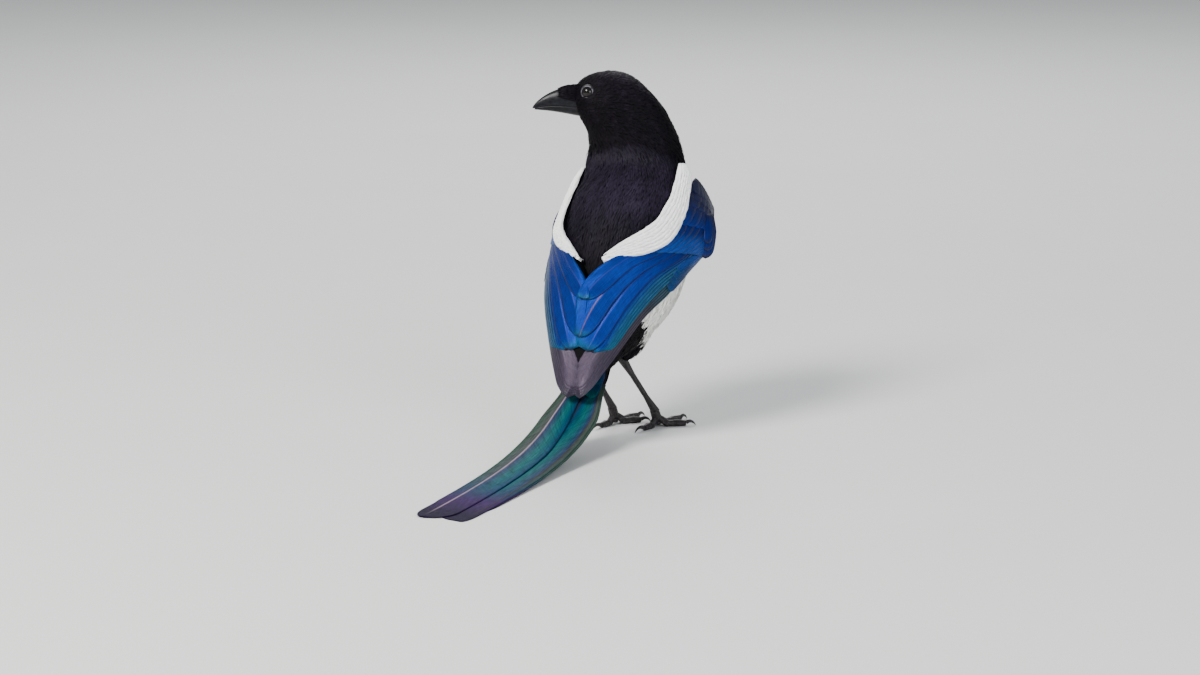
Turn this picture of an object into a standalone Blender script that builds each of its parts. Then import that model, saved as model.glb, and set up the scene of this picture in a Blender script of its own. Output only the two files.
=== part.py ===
"""Eurasian magpie, standing with its head turned to the left: a still, life-size model.

Run with: blender --background --python part.py
Metres, +Z up. The bird's body faces +Y and its right side is +X; it stands on Z = 0.
"""

import math

import bmesh
import bpy
import numpy as np
from mathutils import Vector

MM = 0.001
UP = np.array([0.0, 0.0, 1.0])

# Driving dimensions of a grown magpie
GAP = 0.35 * MM  # between nodes that touch
TARSUS_LENGTH = 49.0 * MM
EYE_RADIUS = 4.3 * MM
HEAD_TURN = math.radians(113)  # of the bill from straight ahead, to the bird's left
FEET_TURN = math.radians(15)  # both feet point this far to the bird's right
VANE_THICKNESS = 0.8 * MM  # of a free feather
VANE_OUTER, VANE_SHAFT, VANE_INNER = 0.85 * MM, 1.2 * MM, 1.6 * MM  # of one among others on the wing

# Body sections from the rump to the base of the neck, in mm: where the section meets the back (y, z),
# where it meets the belly (y, z), and its half width.
TORSO_SECTIONS = (
    (-71.0, 53.5, -60.0, 43.5, 11.0),
    (-68.0, 68.0, -43.0, 52.0, 20.0),
    (-64.0, 88.0, -15.0, 59.0, 30.0),
    (-60.0, 108.0, 8.0, 67.5, 37.5),
    (-54.0, 127.0, 28.0, 81.0, 41.5),
    (-42.0, 147.0, 42.0, 103.0, 42.5),
    (-24.0, 166.0, 49.0, 128.0, 41.0),
    (-2.0, 180.0, 47.0, 152.0, 36.0),
)
BELLY_TOP = ((48.0, 106.0), (-66.0, 112.0))  # y, z of a line that the white belly and flanks end at
BELLY_BACK = ((-23.5, 50.0), (-58.0, 112.0))  # y, z of the line behind which the rump and vent are black

# Head and neck sections, in mm, each a level oval: height, how far it reaches towards the bill and
# towards the nape from the neck's axis, and its half width.
HEAD_SECTIONS = (
    (190.0, 25.8, 35.0, 25.0),
    (197.0, 28.0, 33.0, 23.2),
    (203.0, 32.0, 30.0, 21.8),
    (209.0, 35.8, 26.5, 20.8),
    (215.5, 37.3, 21.5, 20.0),
    (221.0, 37.2, 17.0, 18.6),
    (227.5, 34.6, 10.5, 15.4),
    (232.4, 29.5, 4.8, 10.8),
    (235.9, 22.5, -2.0, 5.8),
)
CROWN = (12.5, 237.4)  # mm towards the bill, and height
NECK_AXIS = np.array([-9.3, 22.0]) * MM  # where the head's sections are measured from, in plan
NECK_TO_HEAD = 199.0 * MM  # height of the cut between neck and head

# Folded right wing, in mm: its inner edge, crest and outer edge from the shoulder to the tip.
WING_INNER = (
    (39.5, 18.0, 167.0), (42.0, -5.0, 152.0), (37.5, -31.0, 132.5), (16.5, -61.0, 122.0),
    (-0.5, -72.5, 101.5), (-1.5, -82.0, 69.5), (-2.0, -91.0, 34.5),
)
WING_CREST = (
    (42.0, 29.0, 157.0), (53.0, 14.0, 134.0), (48.5, -17.0, 121.0), (36.0, -46.0, 111.5),
    (25.0, -66.0, 93.0), (14.5, -81.0, 66.0), (4.0, -92.5, 35.5),
)
WING_OUTER = (
    (44.0, 42.0, 141.0), (50.0, 14.0, 120.0), (49.0, -15.0, 109.0), (45.0, -36.0, 98.0),
    (35.5, -57.5, 84.0), (23.5, -76.5, 61.0), (9.5, -94.5, 36.5),
)
WING_CORE_END = 0.96  # of the wing's length, where the feathers' tips go on alone
INNER_LIMIT = -0.03  # no feather reaches further inwards than this share of the wing's width
VANE_TILT = 0.085  # a feather's inner edge tucks this far down for each unit of its width

# White shoulder band of the right side, in mm, from the neck to the middle of the back
SHOULDER_BAND = (
    (36.5, 8.5, 169.5), (38.0, 1.0, 161.5), (39.0, -10.0, 150.5), (36.5, -28.0, 138.0),
    (29.0, -41.0, 132.0), (19.0, -52.0, 128.0), (8.0, -61.5, 122.5),
)

# Tail: a root inside the rump, and a line that sinks and levels out along the ground, in mm
TAIL_ROOT = (-65.0, 47.5)  # y, z
TAIL_SINK = 50.0  # horizontal distance in which the tail's height above the ground falls to a third
TAIL_REST = 0.5  # height of the feathers' middle where they lie
TAIL_ROOF = 0.005  # how far a feather's side droops, per mm, times the distance from the middle
TAIL_FEATHERS = (242.0, 212.0, 184.0, 162.0, 145.0, 128.0)  # lengths of a side, middle one first
TAIL_WIDTHS = (25.0, 23.0, 21.0, 20.0, 19.0, 18.0)
TAIL_OUTER_EDGES = (19.0, 20.2, 20.0, 19.0, 17.5, 16.0)
TAIL_CUTS = ((56.0, "tail_middle"), (128.0, "tail_end"))  # mm along the tail where it bends least

COLOURS = {
    "black_plumage": (0.018, 0.015, 0.022, 0.55, 0.0),
    "white_plumage": (0.86, 0.85, 0.82, 0.70, 0.0),
    "blue_wing": (0.004, 0.075, 0.36, 0.35, 0.25),
    "green_tail": (0.010, 0.110, 0.130, 0.35, 0.30),
    "bill_horn": (0.035, 0.036, 0.045, 0.35, 0.0),
    "eye_dark": (0.006, 0.005, 0.005, 0.05, 0.0),
    "leg_scales": (0.030, 0.026, 0.030, 0.45, 0.0),
    "claw_horn": (0.020, 0.018, 0.020, 0.30, 0.0),
}


# Scene, materials and small maths helpers

def clear_scene():
    for thing in list(bpy.data.objects):
        bpy.data.objects.remove(thing)


def new_collection(name):
    made = bpy.data.collections.new(name)
    bpy.context.scene.collection.children.link(made)
    return made


def make_material(name):
    red, green, blue, roughness, metallic = COLOURS[name]
    material = bpy.data.materials.new(name)
    material.use_nodes = True
    shader = material.node_tree.nodes["Principled BSDF"]
    shader.inputs["Base Color"].default_value = (red, green, blue, 1.0)
    shader.inputs["Roughness"].default_value = roughness
    shader.inputs["Metallic"].default_value = metallic
    return material


def along(points, share):
    """A point on the smooth curve through evenly spaced points, at a share from 0 to 1."""
    points = np.asarray(points, float)
    last = len(points) - 1
    place = min(max(share, 0.0), 1.0) * last
    index = min(int(place), last - 1)
    t = place - index
    start, end = points[index], points[index + 1]
    before = points[index - 1] if index > 0 else 2 * start - end
    after = points[index + 2] if index + 2 <= last else 2 * end - start
    first_slope, last_slope = (end - before) / 2, (after - start) / 2
    return (
        (2 * t**3 - 3 * t**2 + 1) * start
        + (t**3 - 2 * t**2 + t) * first_slope
        + (3 * t**2 - 2 * t**3) * end
        + (t**3 - t**2) * last_slope
    )


def unit(vector):
    return np.asarray(vector, float) / np.linalg.norm(vector)


def object_from(shape, name, material, collection):
    """Makes a named object from a bmesh, with its normals out and its material on."""
    bmesh.ops.recalc_face_normals(shape, faces=shape.faces)
    mesh = bpy.data.meshes.new(name)
    shape.to_mesh(mesh)
    shape.free()
    made = bpy.data.objects.new(name, mesh)
    collection.objects.link(made)
    if material is not None:
        mesh.materials.append(material)
    mesh.shade_smooth()
    mesh.set_sharp_from_angle(angle=math.radians(38))
    return made


def loft(rings, first_pole=None, last_pole=None):
    """A closed bmesh through rings of points, capped flat or drawn to a pole at each end."""
    made = bmesh.new()
    loops = [[made.verts.new(point) for point in ring] for ring in rings]
    count = len(loops[0])
    for lower, upper in zip(loops, loops[1:]):
        for i in range(count):
            j = (i + 1) % count
            made.faces.new((lower[i], lower[j], upper[j], upper[i]))
    for loop, pole in ((loops[0], first_pole), (loops[-1], last_pole)):
        if pole is None:
            made.faces.new(loop)
            continue
        tip = made.verts.new(pole)
        for i in range(count):
            made.faces.new((loop[i], loop[(i + 1) % count], tip))
    return made


def limb(points, radii, steps, sides=8, floor=None):
    """A tapered round limb on a smooth curve. What would dip below the floor is pressed flat."""
    shares = [i / (steps - 1) for i in range(steps)]
    centres = [along(points, share) for share in shares]
    rings = []
    for i, centre in enumerate(centres):
        forward = unit(centres[min(i + 1, steps - 1)] - centres[max(i - 1, 0)])
        side = unit(np.cross(forward, UP) + (1e-6, 0.0, 0.0))
        up = np.cross(side, forward)
        radius = along([[r] for r in radii], shares[i])[0]
        ring = []
        for k in range(sides):
            angle = 2 * math.pi * (k + 0.5) / sides
            place = centre + radius * (math.cos(angle) * side + math.sin(angle) * up)
            if floor is not None:
                place[2] = max(place[2], floor)
            ring.append(place)
        rings.append(ring)
    return loft(rings)


def plate(tops, normals, thickness, floor=None):
    """A thin closed sheet under a grid of points, split into triangles alike on both faces."""
    made = bmesh.new()
    layers = []
    for side in (0.0, 1.0):
        layer = []
        for row, row_normals in zip(tops, normals):
            places = [p - side * t * n for p, n, t in zip(row, row_normals, thickness)]
            if floor is not None:
                places = [np.array([x, y, max(z, floor)]) for x, y, z in places]
            layer.append([made.verts.new(place) for place in places])
        layers.append(layer)
    rows, columns = len(tops), len(tops[0])
    for layer in layers:
        for i in range(rows - 1):
            for j in range(columns - 1):
                a, b = layer[i][j], layer[i][j + 1]
                c, d = layer[i + 1][j + 1], layer[i + 1][j]
                made.faces.new((a, b, c))
                made.faces.new((a, c, d))
    rim = [(i, 0) for i in range(rows)] + [(rows - 1, j) for j in range(1, columns)]
    rim += [(i, columns - 1) for i in range(rows - 2, -1, -1)]
    rim += [(0, j) for j in range(columns - 2, 0, -1)]
    for (i, j), (k, m) in zip(rim, rim[1:] + rim[:1]):
        made.faces.new((layers[0][i][j], layers[0][k][m], layers[1][k][m]))
        made.faces.new((layers[0][i][j], layers[1][k][m], layers[1][i][j]))
    return made


def feather_width(share, length, width):
    """A feather's width at a share of its length, against its full width: slim root, round tip."""
    round_from = 1 - 0.62 * width / length
    body = 0.62 + 0.38 * min(share / 0.35, 1.0)
    if share <= round_from:
        return body
    turn = (share - round_from) / (1 - round_from)
    return body * math.sqrt(max(1 - turn**2.2, 0.03))


def feather_shares(stations):
    """Places along a feather, closer together where its tip is round."""
    return [0.5 * (i / (stations - 1)) + 0.5 * (1 - (1 - i / (stations - 1)) ** 2) for i in range(stations)]


# Booleans

def apply_modifiers(thing):
    """Turns the object's evaluated shape into its own mesh."""
    graph = bpy.context.evaluated_depsgraph_get()
    mesh = bpy.data.meshes.new_from_object(thing.evaluated_get(graph))
    thing.modifiers.clear()
    old = thing.data
    thing.data = mesh
    bpy.data.meshes.remove(old)


def islands_of(shape):
    """The sets of joined vertices of a bmesh."""
    unseen = set(shape.verts)
    islands = []
    while unseen:
        start = unseen.pop()
        island, front = [start], [start]
        while front:
            for edge in front.pop().link_edges:
                for vertex in edge.verts:
                    if vertex in unseen:
                        unseen.discard(vertex)
                        island.append(vertex)
                        front.append(vertex)
        islands.append(island)
    return islands


def spread(vertices):
    """The diagonal of the box round these vertices."""
    places = np.array([vertex.co for vertex in vertices])
    return float(np.linalg.norm(places.max(0) - places.min(0)))


# Ways to tidy a surface after a Boolean, the strongest first: edges shorter than this many mm close up,
# and faces that meet flatter than this many degrees become one
TIDY_STEPS = ((0.001, 3.0), (0.001, 2.0), (0.001, 1.0), (0.0005, 0.5), (0.0001, 0.0))


def keep_largest(thing):
    """Drops every closed surface of the object but the largest, and tidies as far as it stays closed."""
    for shortest, flattest in TIDY_STEPS:
        shape = bmesh.new()
        shape.from_mesh(thing.data)
        bmesh.ops.remove_doubles(shape, verts=shape.verts, dist=shortest * MM)
        islands = sorted(islands_of(shape), key=spread, reverse=True)
        loose = [vertex for island in islands[1:] for vertex in island]
        bmesh.ops.delete(shape, geom=loose, context="VERTS")
        if flattest > 0:
            bmesh.ops.dissolve_limit(
                shape,
                angle_limit=math.radians(flattest),
                use_dissolve_boundaries=True,
                verts=shape.verts,
                edges=shape.edges,
            )
        bmesh.ops.triangulate(shape, faces=shape.faces)
        closed = all(edge.is_manifold for edge in shape.edges) and len(islands_of(shape)) == 1
        if closed or (shortest, flattest) == TIDY_STEPS[-1]:
            shape.to_mesh(thing.data)
            shape.free()
            return
        shape.free()


def fuse(base, pieces, solver="MANIFOLD"):
    """Joins closed pieces to the base with one Boolean union, and removes them."""
    group = bpy.data.collections.new(base.name + "_pieces")
    for piece in pieces:
        for owner in list(piece.users_collection):
            owner.objects.unlink(piece)
        group.objects.link(piece)
    bpy.context.scene.collection.children.link(group)
    union = base.modifiers.new("join", "BOOLEAN")
    union.operation = "UNION"
    union.operand_type = "COLLECTION"
    union.collection = group
    union.solver = solver
    apply_modifiers(base)
    for piece in list(group.objects):
        bpy.data.objects.remove(piece)
    bpy.data.collections.remove(group)
    keep_largest(base)


def carve(thing, cutter, solver="MANIFOLD"):
    """Cuts the cutter's shape away from the object for good."""
    cut = thing.modifiers.new("clear of neighbour", "BOOLEAN")
    cut.operation = "DIFFERENCE"
    cut.object = cutter
    cut.solver = solver
    apply_modifiers(thing)
    keep_largest(thing)


def grown_copy(thing, distance, collection):
    """A helper copy of the object whose surface lies this far outside the real one."""
    shape = bmesh.new()
    shape.from_mesh(thing.data)
    shape.normal_update()
    moved = [(v, v.co + v.normal * min(v.calc_shell_factor(), 2.0) * distance) for v in shape.verts]
    for vertex, place in moved:
        vertex.co = place
    mesh = bpy.data.meshes.new(thing.name + "_grown")
    shape.to_mesh(mesh)
    shape.free()
    helper = bpy.data.objects.new(thing.name + "_grown", mesh)
    helper.hide_render = True
    helper.display_type = "WIRE"
    collection.objects.link(helper)
    return helper


def cut_plane(shape, point, normal):
    """Removes from a bmesh what lies ahead of a plane, and closes the cut flat."""
    cut = bmesh.ops.bisect_plane(
        shape,
        geom=list(shape.verts) + list(shape.edges) + list(shape.faces),
        dist=0.001 * MM,
        plane_co=Vector(point),
        plane_no=Vector(normal),
        clear_outer=True,
    )
    rim = [part for part in cut["geom_cut"] if isinstance(part, bmesh.types.BMEdge)]
    bmesh.ops.contextual_create(shape, geom=rim)


def split_by_plane(thing, name, point, normal, material, collection):
    """Parts a solid with a thin plane cut. The side that the normal points to gets the new name."""
    point, normal = np.asarray(point, float), unit(normal)
    halves = []
    for side in (1.0, -1.0):
        shape = bmesh.new()
        shape.from_mesh(thing.data)
        cut_plane(shape, point - side * normal * GAP / 2, side * normal)
        halves.append(shape)
    kept_name, kept_material = thing.name, thing.data.materials[0]
    bpy.data.objects.remove(thing)
    kept = object_from(halves[0], kept_name, kept_material, collection)
    kept.name = kept_name
    return kept, object_from(halves[1], name, material, collection)


# Torso and belly

TORSO_RINGS = 18
RING_POINTS = 32


def torso_section(share):
    """Centre, sideways half axis and backward half axis of a body section, in metres."""
    back_y, back_z, belly_y, belly_z, half_width = along(TORSO_SECTIONS, share) * MM
    back = np.array([0.0, back_y, back_z])
    belly = np.array([0.0, belly_y, belly_z])
    return (back + belly) / 2, np.array([half_width, 0.0, 0.0]), (back - belly) / 2


def torso_ring(share, points=RING_POINTS):
    centre, sideways, backward = torso_section(share)
    angles = [2 * math.pi * k / points for k in range(points)]
    return [centre + math.cos(a) * sideways - math.sin(a) * backward for a in angles]


def split_by_line(thing, name, line, material, collection):
    """Parts a solid along a plane that the midplane meets in a line; the new name goes to its low side."""
    first, last = (np.array([0.0, *point]) * MM for point in line)
    down = np.cross(first - last, (1.0, 0.0, 0.0))
    down *= -np.sign(down[2])
    return split_by_plane(thing, name, first, down, material, collection)


def make_torso(materials, collection):
    rings = [torso_ring(i / (TORSO_RINGS - 1)) for i in range(TORSO_RINGS)]
    whole = object_from(loft(rings), "torso", materials["black_plumage"], collection)
    torso, belly = split_by_line(whole, "belly", BELLY_TOP, materials["white_plumage"], collection)
    belly, rump = split_by_line(belly, "rump", BELLY_BACK, materials["black_plumage"], collection)
    return [torso, belly, rump]


# Neck and head

BILL_WAY = np.array([-math.sin(HEAD_TURN), math.cos(HEAD_TURN), 0.0])
CHEEK_WAY = np.cross(UP, BILL_WAY)  # towards the left of the face
HEAD_RINGS = 19
NECK_RINGS = 5


def on_head(forward, side, height):
    """A place from its distances towards the bill, towards the left cheek, and its height, in mm."""
    return np.array([*NECK_AXIS, 0.0]) + (forward * BILL_WAY + side * CHEEK_WAY + height * UP) * MM


def head_ring(share):
    height, front, back, half_width = along(HEAD_SECTIONS, share)
    start = math.atan2(BILL_WAY[1], BILL_WAY[0])
    ring = []
    for k in range(RING_POINTS):
        angle = 2 * math.pi * k / RING_POINTS - start
        side = half_width * math.copysign(abs(math.sin(angle)) ** 0.9, math.sin(angle))
        forward = (front - back) / 2 + (front + back) / 2 * math.cos(angle)
        ring.append(on_head(forward, side, height))
    return ring


def neck_rings():
    """Rings that turn from the body's tilted end section to the head's first level one."""
    _, sideways, backward = torso_section(1.0)
    outward = unit(np.cross(backward, sideways))
    outward *= np.sign(outward[2])
    body_end = torso_ring(1.0)
    head_start = head_ring(0.0)
    rings = []
    for step in range(NECK_RINGS):
        blend = step / NECK_RINGS
        lifted = GAP * (1 - blend) * outward
        rings.append([(1 - blend) * a + blend * b + lifted for a, b in zip(body_end, head_start)])
    return rings


def make_head_and_neck(materials, collection):
    black = materials["black_plumage"]
    levels = [head_ring(i / (HEAD_RINGS - 1)) for i in range(HEAD_RINGS)]
    crown = on_head(CROWN[0], 0.0, CROWN[1])
    whole = object_from(loft(neck_rings() + levels, last_pole=crown), "neck", black, collection)
    return split_by_plane(whole, "head", (0.0, 0.0, NECK_TO_HEAD), UP, black, collection)


def face_side(forward, height):
    """Half the head's width at a place on the face, in mm."""
    heights, fronts, backs, widths = np.array(HEAD_SECTIONS).T
    front, back = np.interp(height, heights, fronts), np.interp(height, heights, backs)
    lean = (forward - (front - back) / 2) / ((front + back) / 2)
    return np.interp(height, heights, widths) * max(1 - lean**2, 0.0) ** 0.45


EYE_FORWARD, EYE_HEIGHT = 27.0, 223.6  # mm
EYE_SINK = 2.3  # mm from the eye's middle to the skin over it
LID_TURNS, LID_SIDES = 20, 6


def lid_ring(centre, turn, collection):
    """The raised ring of bare skin round an eye."""
    lid = bmesh.new()
    loops = []
    for step in range(LID_TURNS):
        around = 2 * math.pi * step / LID_TURNS
        loop = []
        for k in range(LID_SIDES):
            section = 2 * math.pi * k / LID_SIDES
            radius = EYE_RADIUS + (0.1 + 0.8 * math.cos(section)) * MM
            rise = (1.7 + 1.3 * math.sin(section)) * MM
            local = Vector((radius * math.cos(around), radius * math.sin(around), rise))
            loop.append(lid.verts.new(Vector(centre) + turn @ local))
        loops.append(loop)
    for here, there in zip(loops, loops[1:] + loops[:1]):
        for i in range(LID_SIDES):
            j = (i + 1) % LID_SIDES
            lid.faces.new((here[i], here[j], there[j], there[i]))
    return object_from(lid, "lid", None, collection)


def make_eyes(head, materials, collection, helpers):
    """Two eyes in cups of the head, each with its ring of lid."""
    for side, name in ((1.0, "eye_left"), (-1.0, "eye_right")):
        out = face_side(EYE_FORWARD, EYE_HEIGHT) - EYE_SINK
        centre = on_head(EYE_FORWARD, side * out, EYE_HEIGHT)
        turn = Vector(side * CHEEK_WAY + 0.34 * BILL_WAY + 0.2 * UP).to_track_quat("Z", "Y")
        fuse(head, [lid_ring(centre, turn, collection)])
        ball = bmesh.new()
        bmesh.ops.create_uvsphere(ball, u_segments=14, v_segments=9, radius=EYE_RADIUS)
        bmesh.ops.rotate(ball, matrix=turn.to_matrix(), verts=ball.verts)
        bmesh.ops.translate(ball, vec=Vector(centre), verts=ball.verts)
        eye = object_from(ball, name, materials["eye_dark"], collection)
        carve(head, grown_copy(eye, GAP, helpers))


# Bill, with the bristles that cover its root

BILL_STATIONS = 10
BILL_ROOT, BILL_TIP = 28.0, 64.3  # mm towards the bill from the neck's axis
MOUTH_CORNER = 32.0
MOUTH_HEIGHT = 212.4
MOUTH_GAP = 0.35
BILL_HALF_WIDTH = 7.2


def mouth_height(forward):
    """The line between the halves of the bill: a slight rise, and a dip at the hooked tip."""
    share = max(forward - MOUTH_CORNER, 0.0) / (BILL_TIP - MOUTH_CORNER)
    return MOUTH_HEIGHT + 0.9 * math.sin(math.pi * share) - 1.3 * share**4


def bill_half_width(forward):
    share = max(forward - MOUTH_CORNER, 0.0) / (BILL_TIP - MOUTH_CORNER)
    return BILL_HALF_WIDTH * (1 - share) ** 0.8 + 0.4


def culmen_height(forward):
    share = max(forward - MOUTH_CORNER, 0.0) / (BILL_TIP - MOUTH_CORNER)
    return mouth_height(forward) + 13.2 * (1 - share**1.6) ** 0.7 + 0.6


def keel_height(forward):
    share = max(forward - MOUTH_CORNER, 0.0) / (BILL_TIP - MOUTH_CORNER)
    return mouth_height(forward) - 6.0 * (1 - share**1.3) ** 0.8 - 0.5


def bill_half(upper):
    """One half of the bill, as a loft from inside the face to the tip."""
    way = 1.0 if upper else -1.0
    rings = []
    for i in range(BILL_STATIONS):
        share = i / (BILL_STATIONS - 1)
        reach = BILL_TIP if upper else BILL_TIP - 1.4
        forward = BILL_ROOT + (reach - BILL_ROOT) * share
        wide = bill_half_width(forward)
        edge = mouth_height(forward) + way * MOUTH_GAP / 2
        far = culmen_height(forward) if upper else keel_height(forward)
        ring = [on_head(forward, -wide * 0.5, edge), on_head(forward, wide * 0.5, edge)]
        for k in range(9):
            angle = math.pi * k / 8
            rise = edge + (far - edge) * (0.1 + 0.9 * math.sin(angle) ** 0.9)
            ring.append(on_head(forward, wide * math.cos(angle), rise))
        rings.append(ring)
    return loft(rings)


def bristle(side, height, reach, collection):
    """A flat, tapered lock of the bristles that lie forward over the root of the bill."""
    start = 30.0
    tops, normals = [], []
    for i in range(5):
        share = i / 4
        forward = start + (reach - start) * share
        level = height - 1.2 * share
        tall = culmen_height(forward) - mouth_height(forward)
        rise = min(max((level - mouth_height(forward)) / tall / 0.9 - 0.11, 0.0), 1.0)
        out = bill_half_width(forward) * math.cos(math.asin(rise ** 1.11)) + 1.3
        half = 1.7 * (1 - 0.8 * share)
        tops.append([on_head(forward, side * out, level + half), on_head(forward, side * out, level - half)])
        normals.append([side * CHEEK_WAY + 0.4 * UP] * 2)
    sheet = plate(tops, normals, (VANE_THICKNESS, VANE_THICKNESS))
    return object_from(sheet, "bristle", None, collection)


def make_bill(head, materials, collection, helpers):
    horn = materials["bill_horn"]
    locks = []
    for side in (1.0, -1.0):
        for height, reach in ((224.3, 43.5), (221.8, 46.0), (219.2, 45.0), (216.6, 42.5)):
            locks.append(bristle(side, height, reach, collection))
    fuse(head, locks)
    face = grown_copy(head, GAP, helpers)
    for upper, name in ((True, "bill_upper"), (False, "bill_lower")):
        half = object_from(bill_half(upper), name, horn, collection)
        carve(half, face)


# Folded wings

def wing_point(s, t):
    """A point of the right wing's outer face: s runs to the tip, t from inner to outer edge."""
    inner, crest, outer = along(WING_INNER, s), along(WING_CREST, s), along(WING_OUTER, s)
    return ((1 - t) * (1 - 2 * t) * inner + 4 * t * (1 - t) * crest + t * (2 * t - 1) * outer) * MM


def wing_normal(s, t):
    """The way out of the wing's face."""
    lengthwise = wing_point(s + 0.01, t) - wing_point(s - 0.01, t)
    across = wing_point(s, t + 0.05) - wing_point(s, t - 0.05)
    return unit(np.cross(lengthwise, across))


def wing_span(s):
    """The distance from the wing's inner edge over its crest to its outer edge."""
    inner, crest, outer = wing_point(s, 0.0), wing_point(s, 0.5), wing_point(s, 1.0)
    return np.linalg.norm(crest - inner) + np.linalg.norm(outer - crest)


def to_side(point, side):
    """The same place on the right side, or mirrored to the left."""
    return np.array([point[0] * side, point[1], point[2]])


def wing_vane(side, start, end, edge, inwards, width, lift, stations, ridged, collection):
    """A feather on the wing from s = start to s = end, whose outer edge leaves t = edge inwards.

    It thickens inwards, where the next feather covers it, so that the two grow together.
    """
    length = np.linalg.norm(wing_point(end, edge) - wing_point(start, edge))
    tops, normals = [], []
    columns = ((0.35, 0.0), (0.0, 0.25 * MM), (-0.65, 0.0)) if ridged else ((0.35, 0.0), (-0.65, 0.0))
    for share in feather_shares(stations):
        s = start + (end - start) * share
        span = wing_span(s)
        full = feather_width(share, length, width)
        shaft = edge - inwards * share**2 - 0.35 * width / span
        row, row_normals = [], []
        for offset, crown in columns:
            t = max(shaft + offset * full * width / span, INNER_LIMIT)
            normal = wing_normal(s, t)
            drop = VANE_TILT * (0.35 - offset * full) * width
            row.append(to_side(wing_point(s, t) + (lift - drop + crown) * normal, side))
            row_normals.append(to_side(normal, side))
        tops.append(row)
        normals.append(row_normals)
    depths = (VANE_OUTER, VANE_SHAFT, VANE_INNER) if ridged else (VANE_OUTER, VANE_INNER)
    return object_from(plate(tops, normals, depths), "vane", None, collection)


CORE_ROWS, CORE_COLUMNS = 13, 6
WING_BEND_END = 0.2  # of the wing's length, over which its front rounds off into the breast


def wing_core(side, name, material, collection):
    """The body of the folded wing, which the feathers are rooted in."""
    tops, normals = [], []
    for i in range(CORE_ROWS):
        s = WING_CORE_END * i / (CORE_ROWS - 1)
        reach = 1.0 - 0.7 * max((s - 0.78) / (WING_CORE_END - 0.78), 0.0) ** 1.4
        front = max(1.0 - s / WING_BEND_END, 0.0) ** 2
        depth = (1.5 + 8.0 * math.sin(math.pi * min(0.12 + 1.06 * i / (CORE_ROWS - 1), 1.0)) ** 0.8) * MM
        row, row_normals = [], []
        for j in range(CORE_COLUMNS):
            t = reach * j / (CORE_COLUMNS - 1)
            t += (0.5 - t) * 0.6 * front
            normal = wing_normal(s, t)
            row.append(to_side(wing_point(s, t) - (0.6 + 2.5 * front) * MM * normal, side))
            row_normals.append(to_side(normal, side) * depth)
        tops.append(row)
        normals.append(row_normals)
    return object_from(plate(tops, normals, [1.0] * CORE_COLUMNS), name, material, collection)


def wing_feathers(side, collection):
    """The feathers of one wing, from the flight feathers up to the smallest coverts."""
    vanes = []

    def add(start, end, edge, width, inwards=0.0, lift=0.0, stations=6, ridged=False):
        size = (width * MM, lift * MM, stations, ridged)
        vanes.append(wing_vane(side, start, end, edge, inwards, *size, collection))

    for i, end in enumerate((0.69, 0.79, 0.84)):  # tertials
        add(0.32, end, 0.24 + 0.14 * i, 21.0, ridged=True)
    for i in range(4):  # secondaries
        add(0.36, 0.865 + 0.014 * i, 0.585 + 0.065 * i, 18.0, stations=5)
    for i, end in enumerate((0.965, 1.0, 0.99, 0.965)):  # primaries
        add(0.38, end, 0.84 + 0.053 * i, 15.0, inwards=0.2 - 0.05 * i, stations=6)
    add(0.12, 0.45, 0.96, 14.0, lift=0.5, stations=4)  # primary coverts
    for i in range(4):  # greater coverts
        edge = 0.24 + 0.22 * i
        add(0.24 - 0.17 * edge, 0.44 - 0.25 * edge, edge, 19.0, lift=0.6, stations=4)
    for i in range(3):  # median coverts
        edge = 0.3 + 0.3 * i
        add(0.06 - 0.05 * edge, 0.24 - 0.12 * edge, edge, 20.0, lift=1.2, stations=4)
    return vanes


ALULA = ((52.3, 18.0, 143.0), (54.6, 12.5, 133.0), (54.6, 9.0, 124.0), (53.6, 6.5, 117.0))  # mm
ALULA_WIDTH = 7.5


def alula(side, collection):
    """The small stiff feathers of the thumb, which hang clear of the wing's outer edge."""
    tops, normals = [], []
    outward = unit((0.93, 0.36, 0.0))
    across = unit((0.36, -0.93, 0.15))
    for share in feather_shares(5):
        centre = along(ALULA, share) * MM
        half = ALULA_WIDTH / 2 * MM * feather_width(share, 28.0, ALULA_WIDTH)
        row = [centre + half * across, centre + 0.3 * MM * outward, centre - half * across]
        tops.append([to_side(point, side) for point in row])
        normals.append([to_side(outward, side)] * 3)
    return object_from(plate(tops, normals, [VANE_THICKNESS] * 3), "alula", None, collection)


def midline_block(side, helpers):
    """Covers the bird's other side and a little more, so that the wings meet without touching."""
    shape = bmesh.new()
    bmesh.ops.create_cube(shape, size=0.4)
    bmesh.ops.translate(shape, verts=shape.verts, vec=(side * (GAP / 2 - 0.2), 0.0, 0.1))
    block = object_from(shape, "midline_block", None, helpers)
    block.hide_render = True
    block.display_type = "WIRE"
    return block


def make_wings(body, materials, collection, helpers):
    clear = [grown_copy(part, GAP, helpers) for part in body]
    wings = []
    for side, name in ((1.0, "wing_right"), (-1.0, "wing_left")):
        wing = wing_core(side, name, materials["blue_wing"], collection)
        fuse(wing, wing_feathers(side, collection) + [alula(side, collection)])
        for cutter in clear + [midline_block(side, helpers)]:
            carve(wing, cutter)
        wings.append(wing)
    return wings


# White shoulder bands

BAND_VANES = 5
BAND_VANE_LENGTH = 0.30  # of the band
BAND_HALF_WIDTHS = (2.2, 4.8, 7.4, 7.8, 7.2, 5.4, 2.6)


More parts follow.
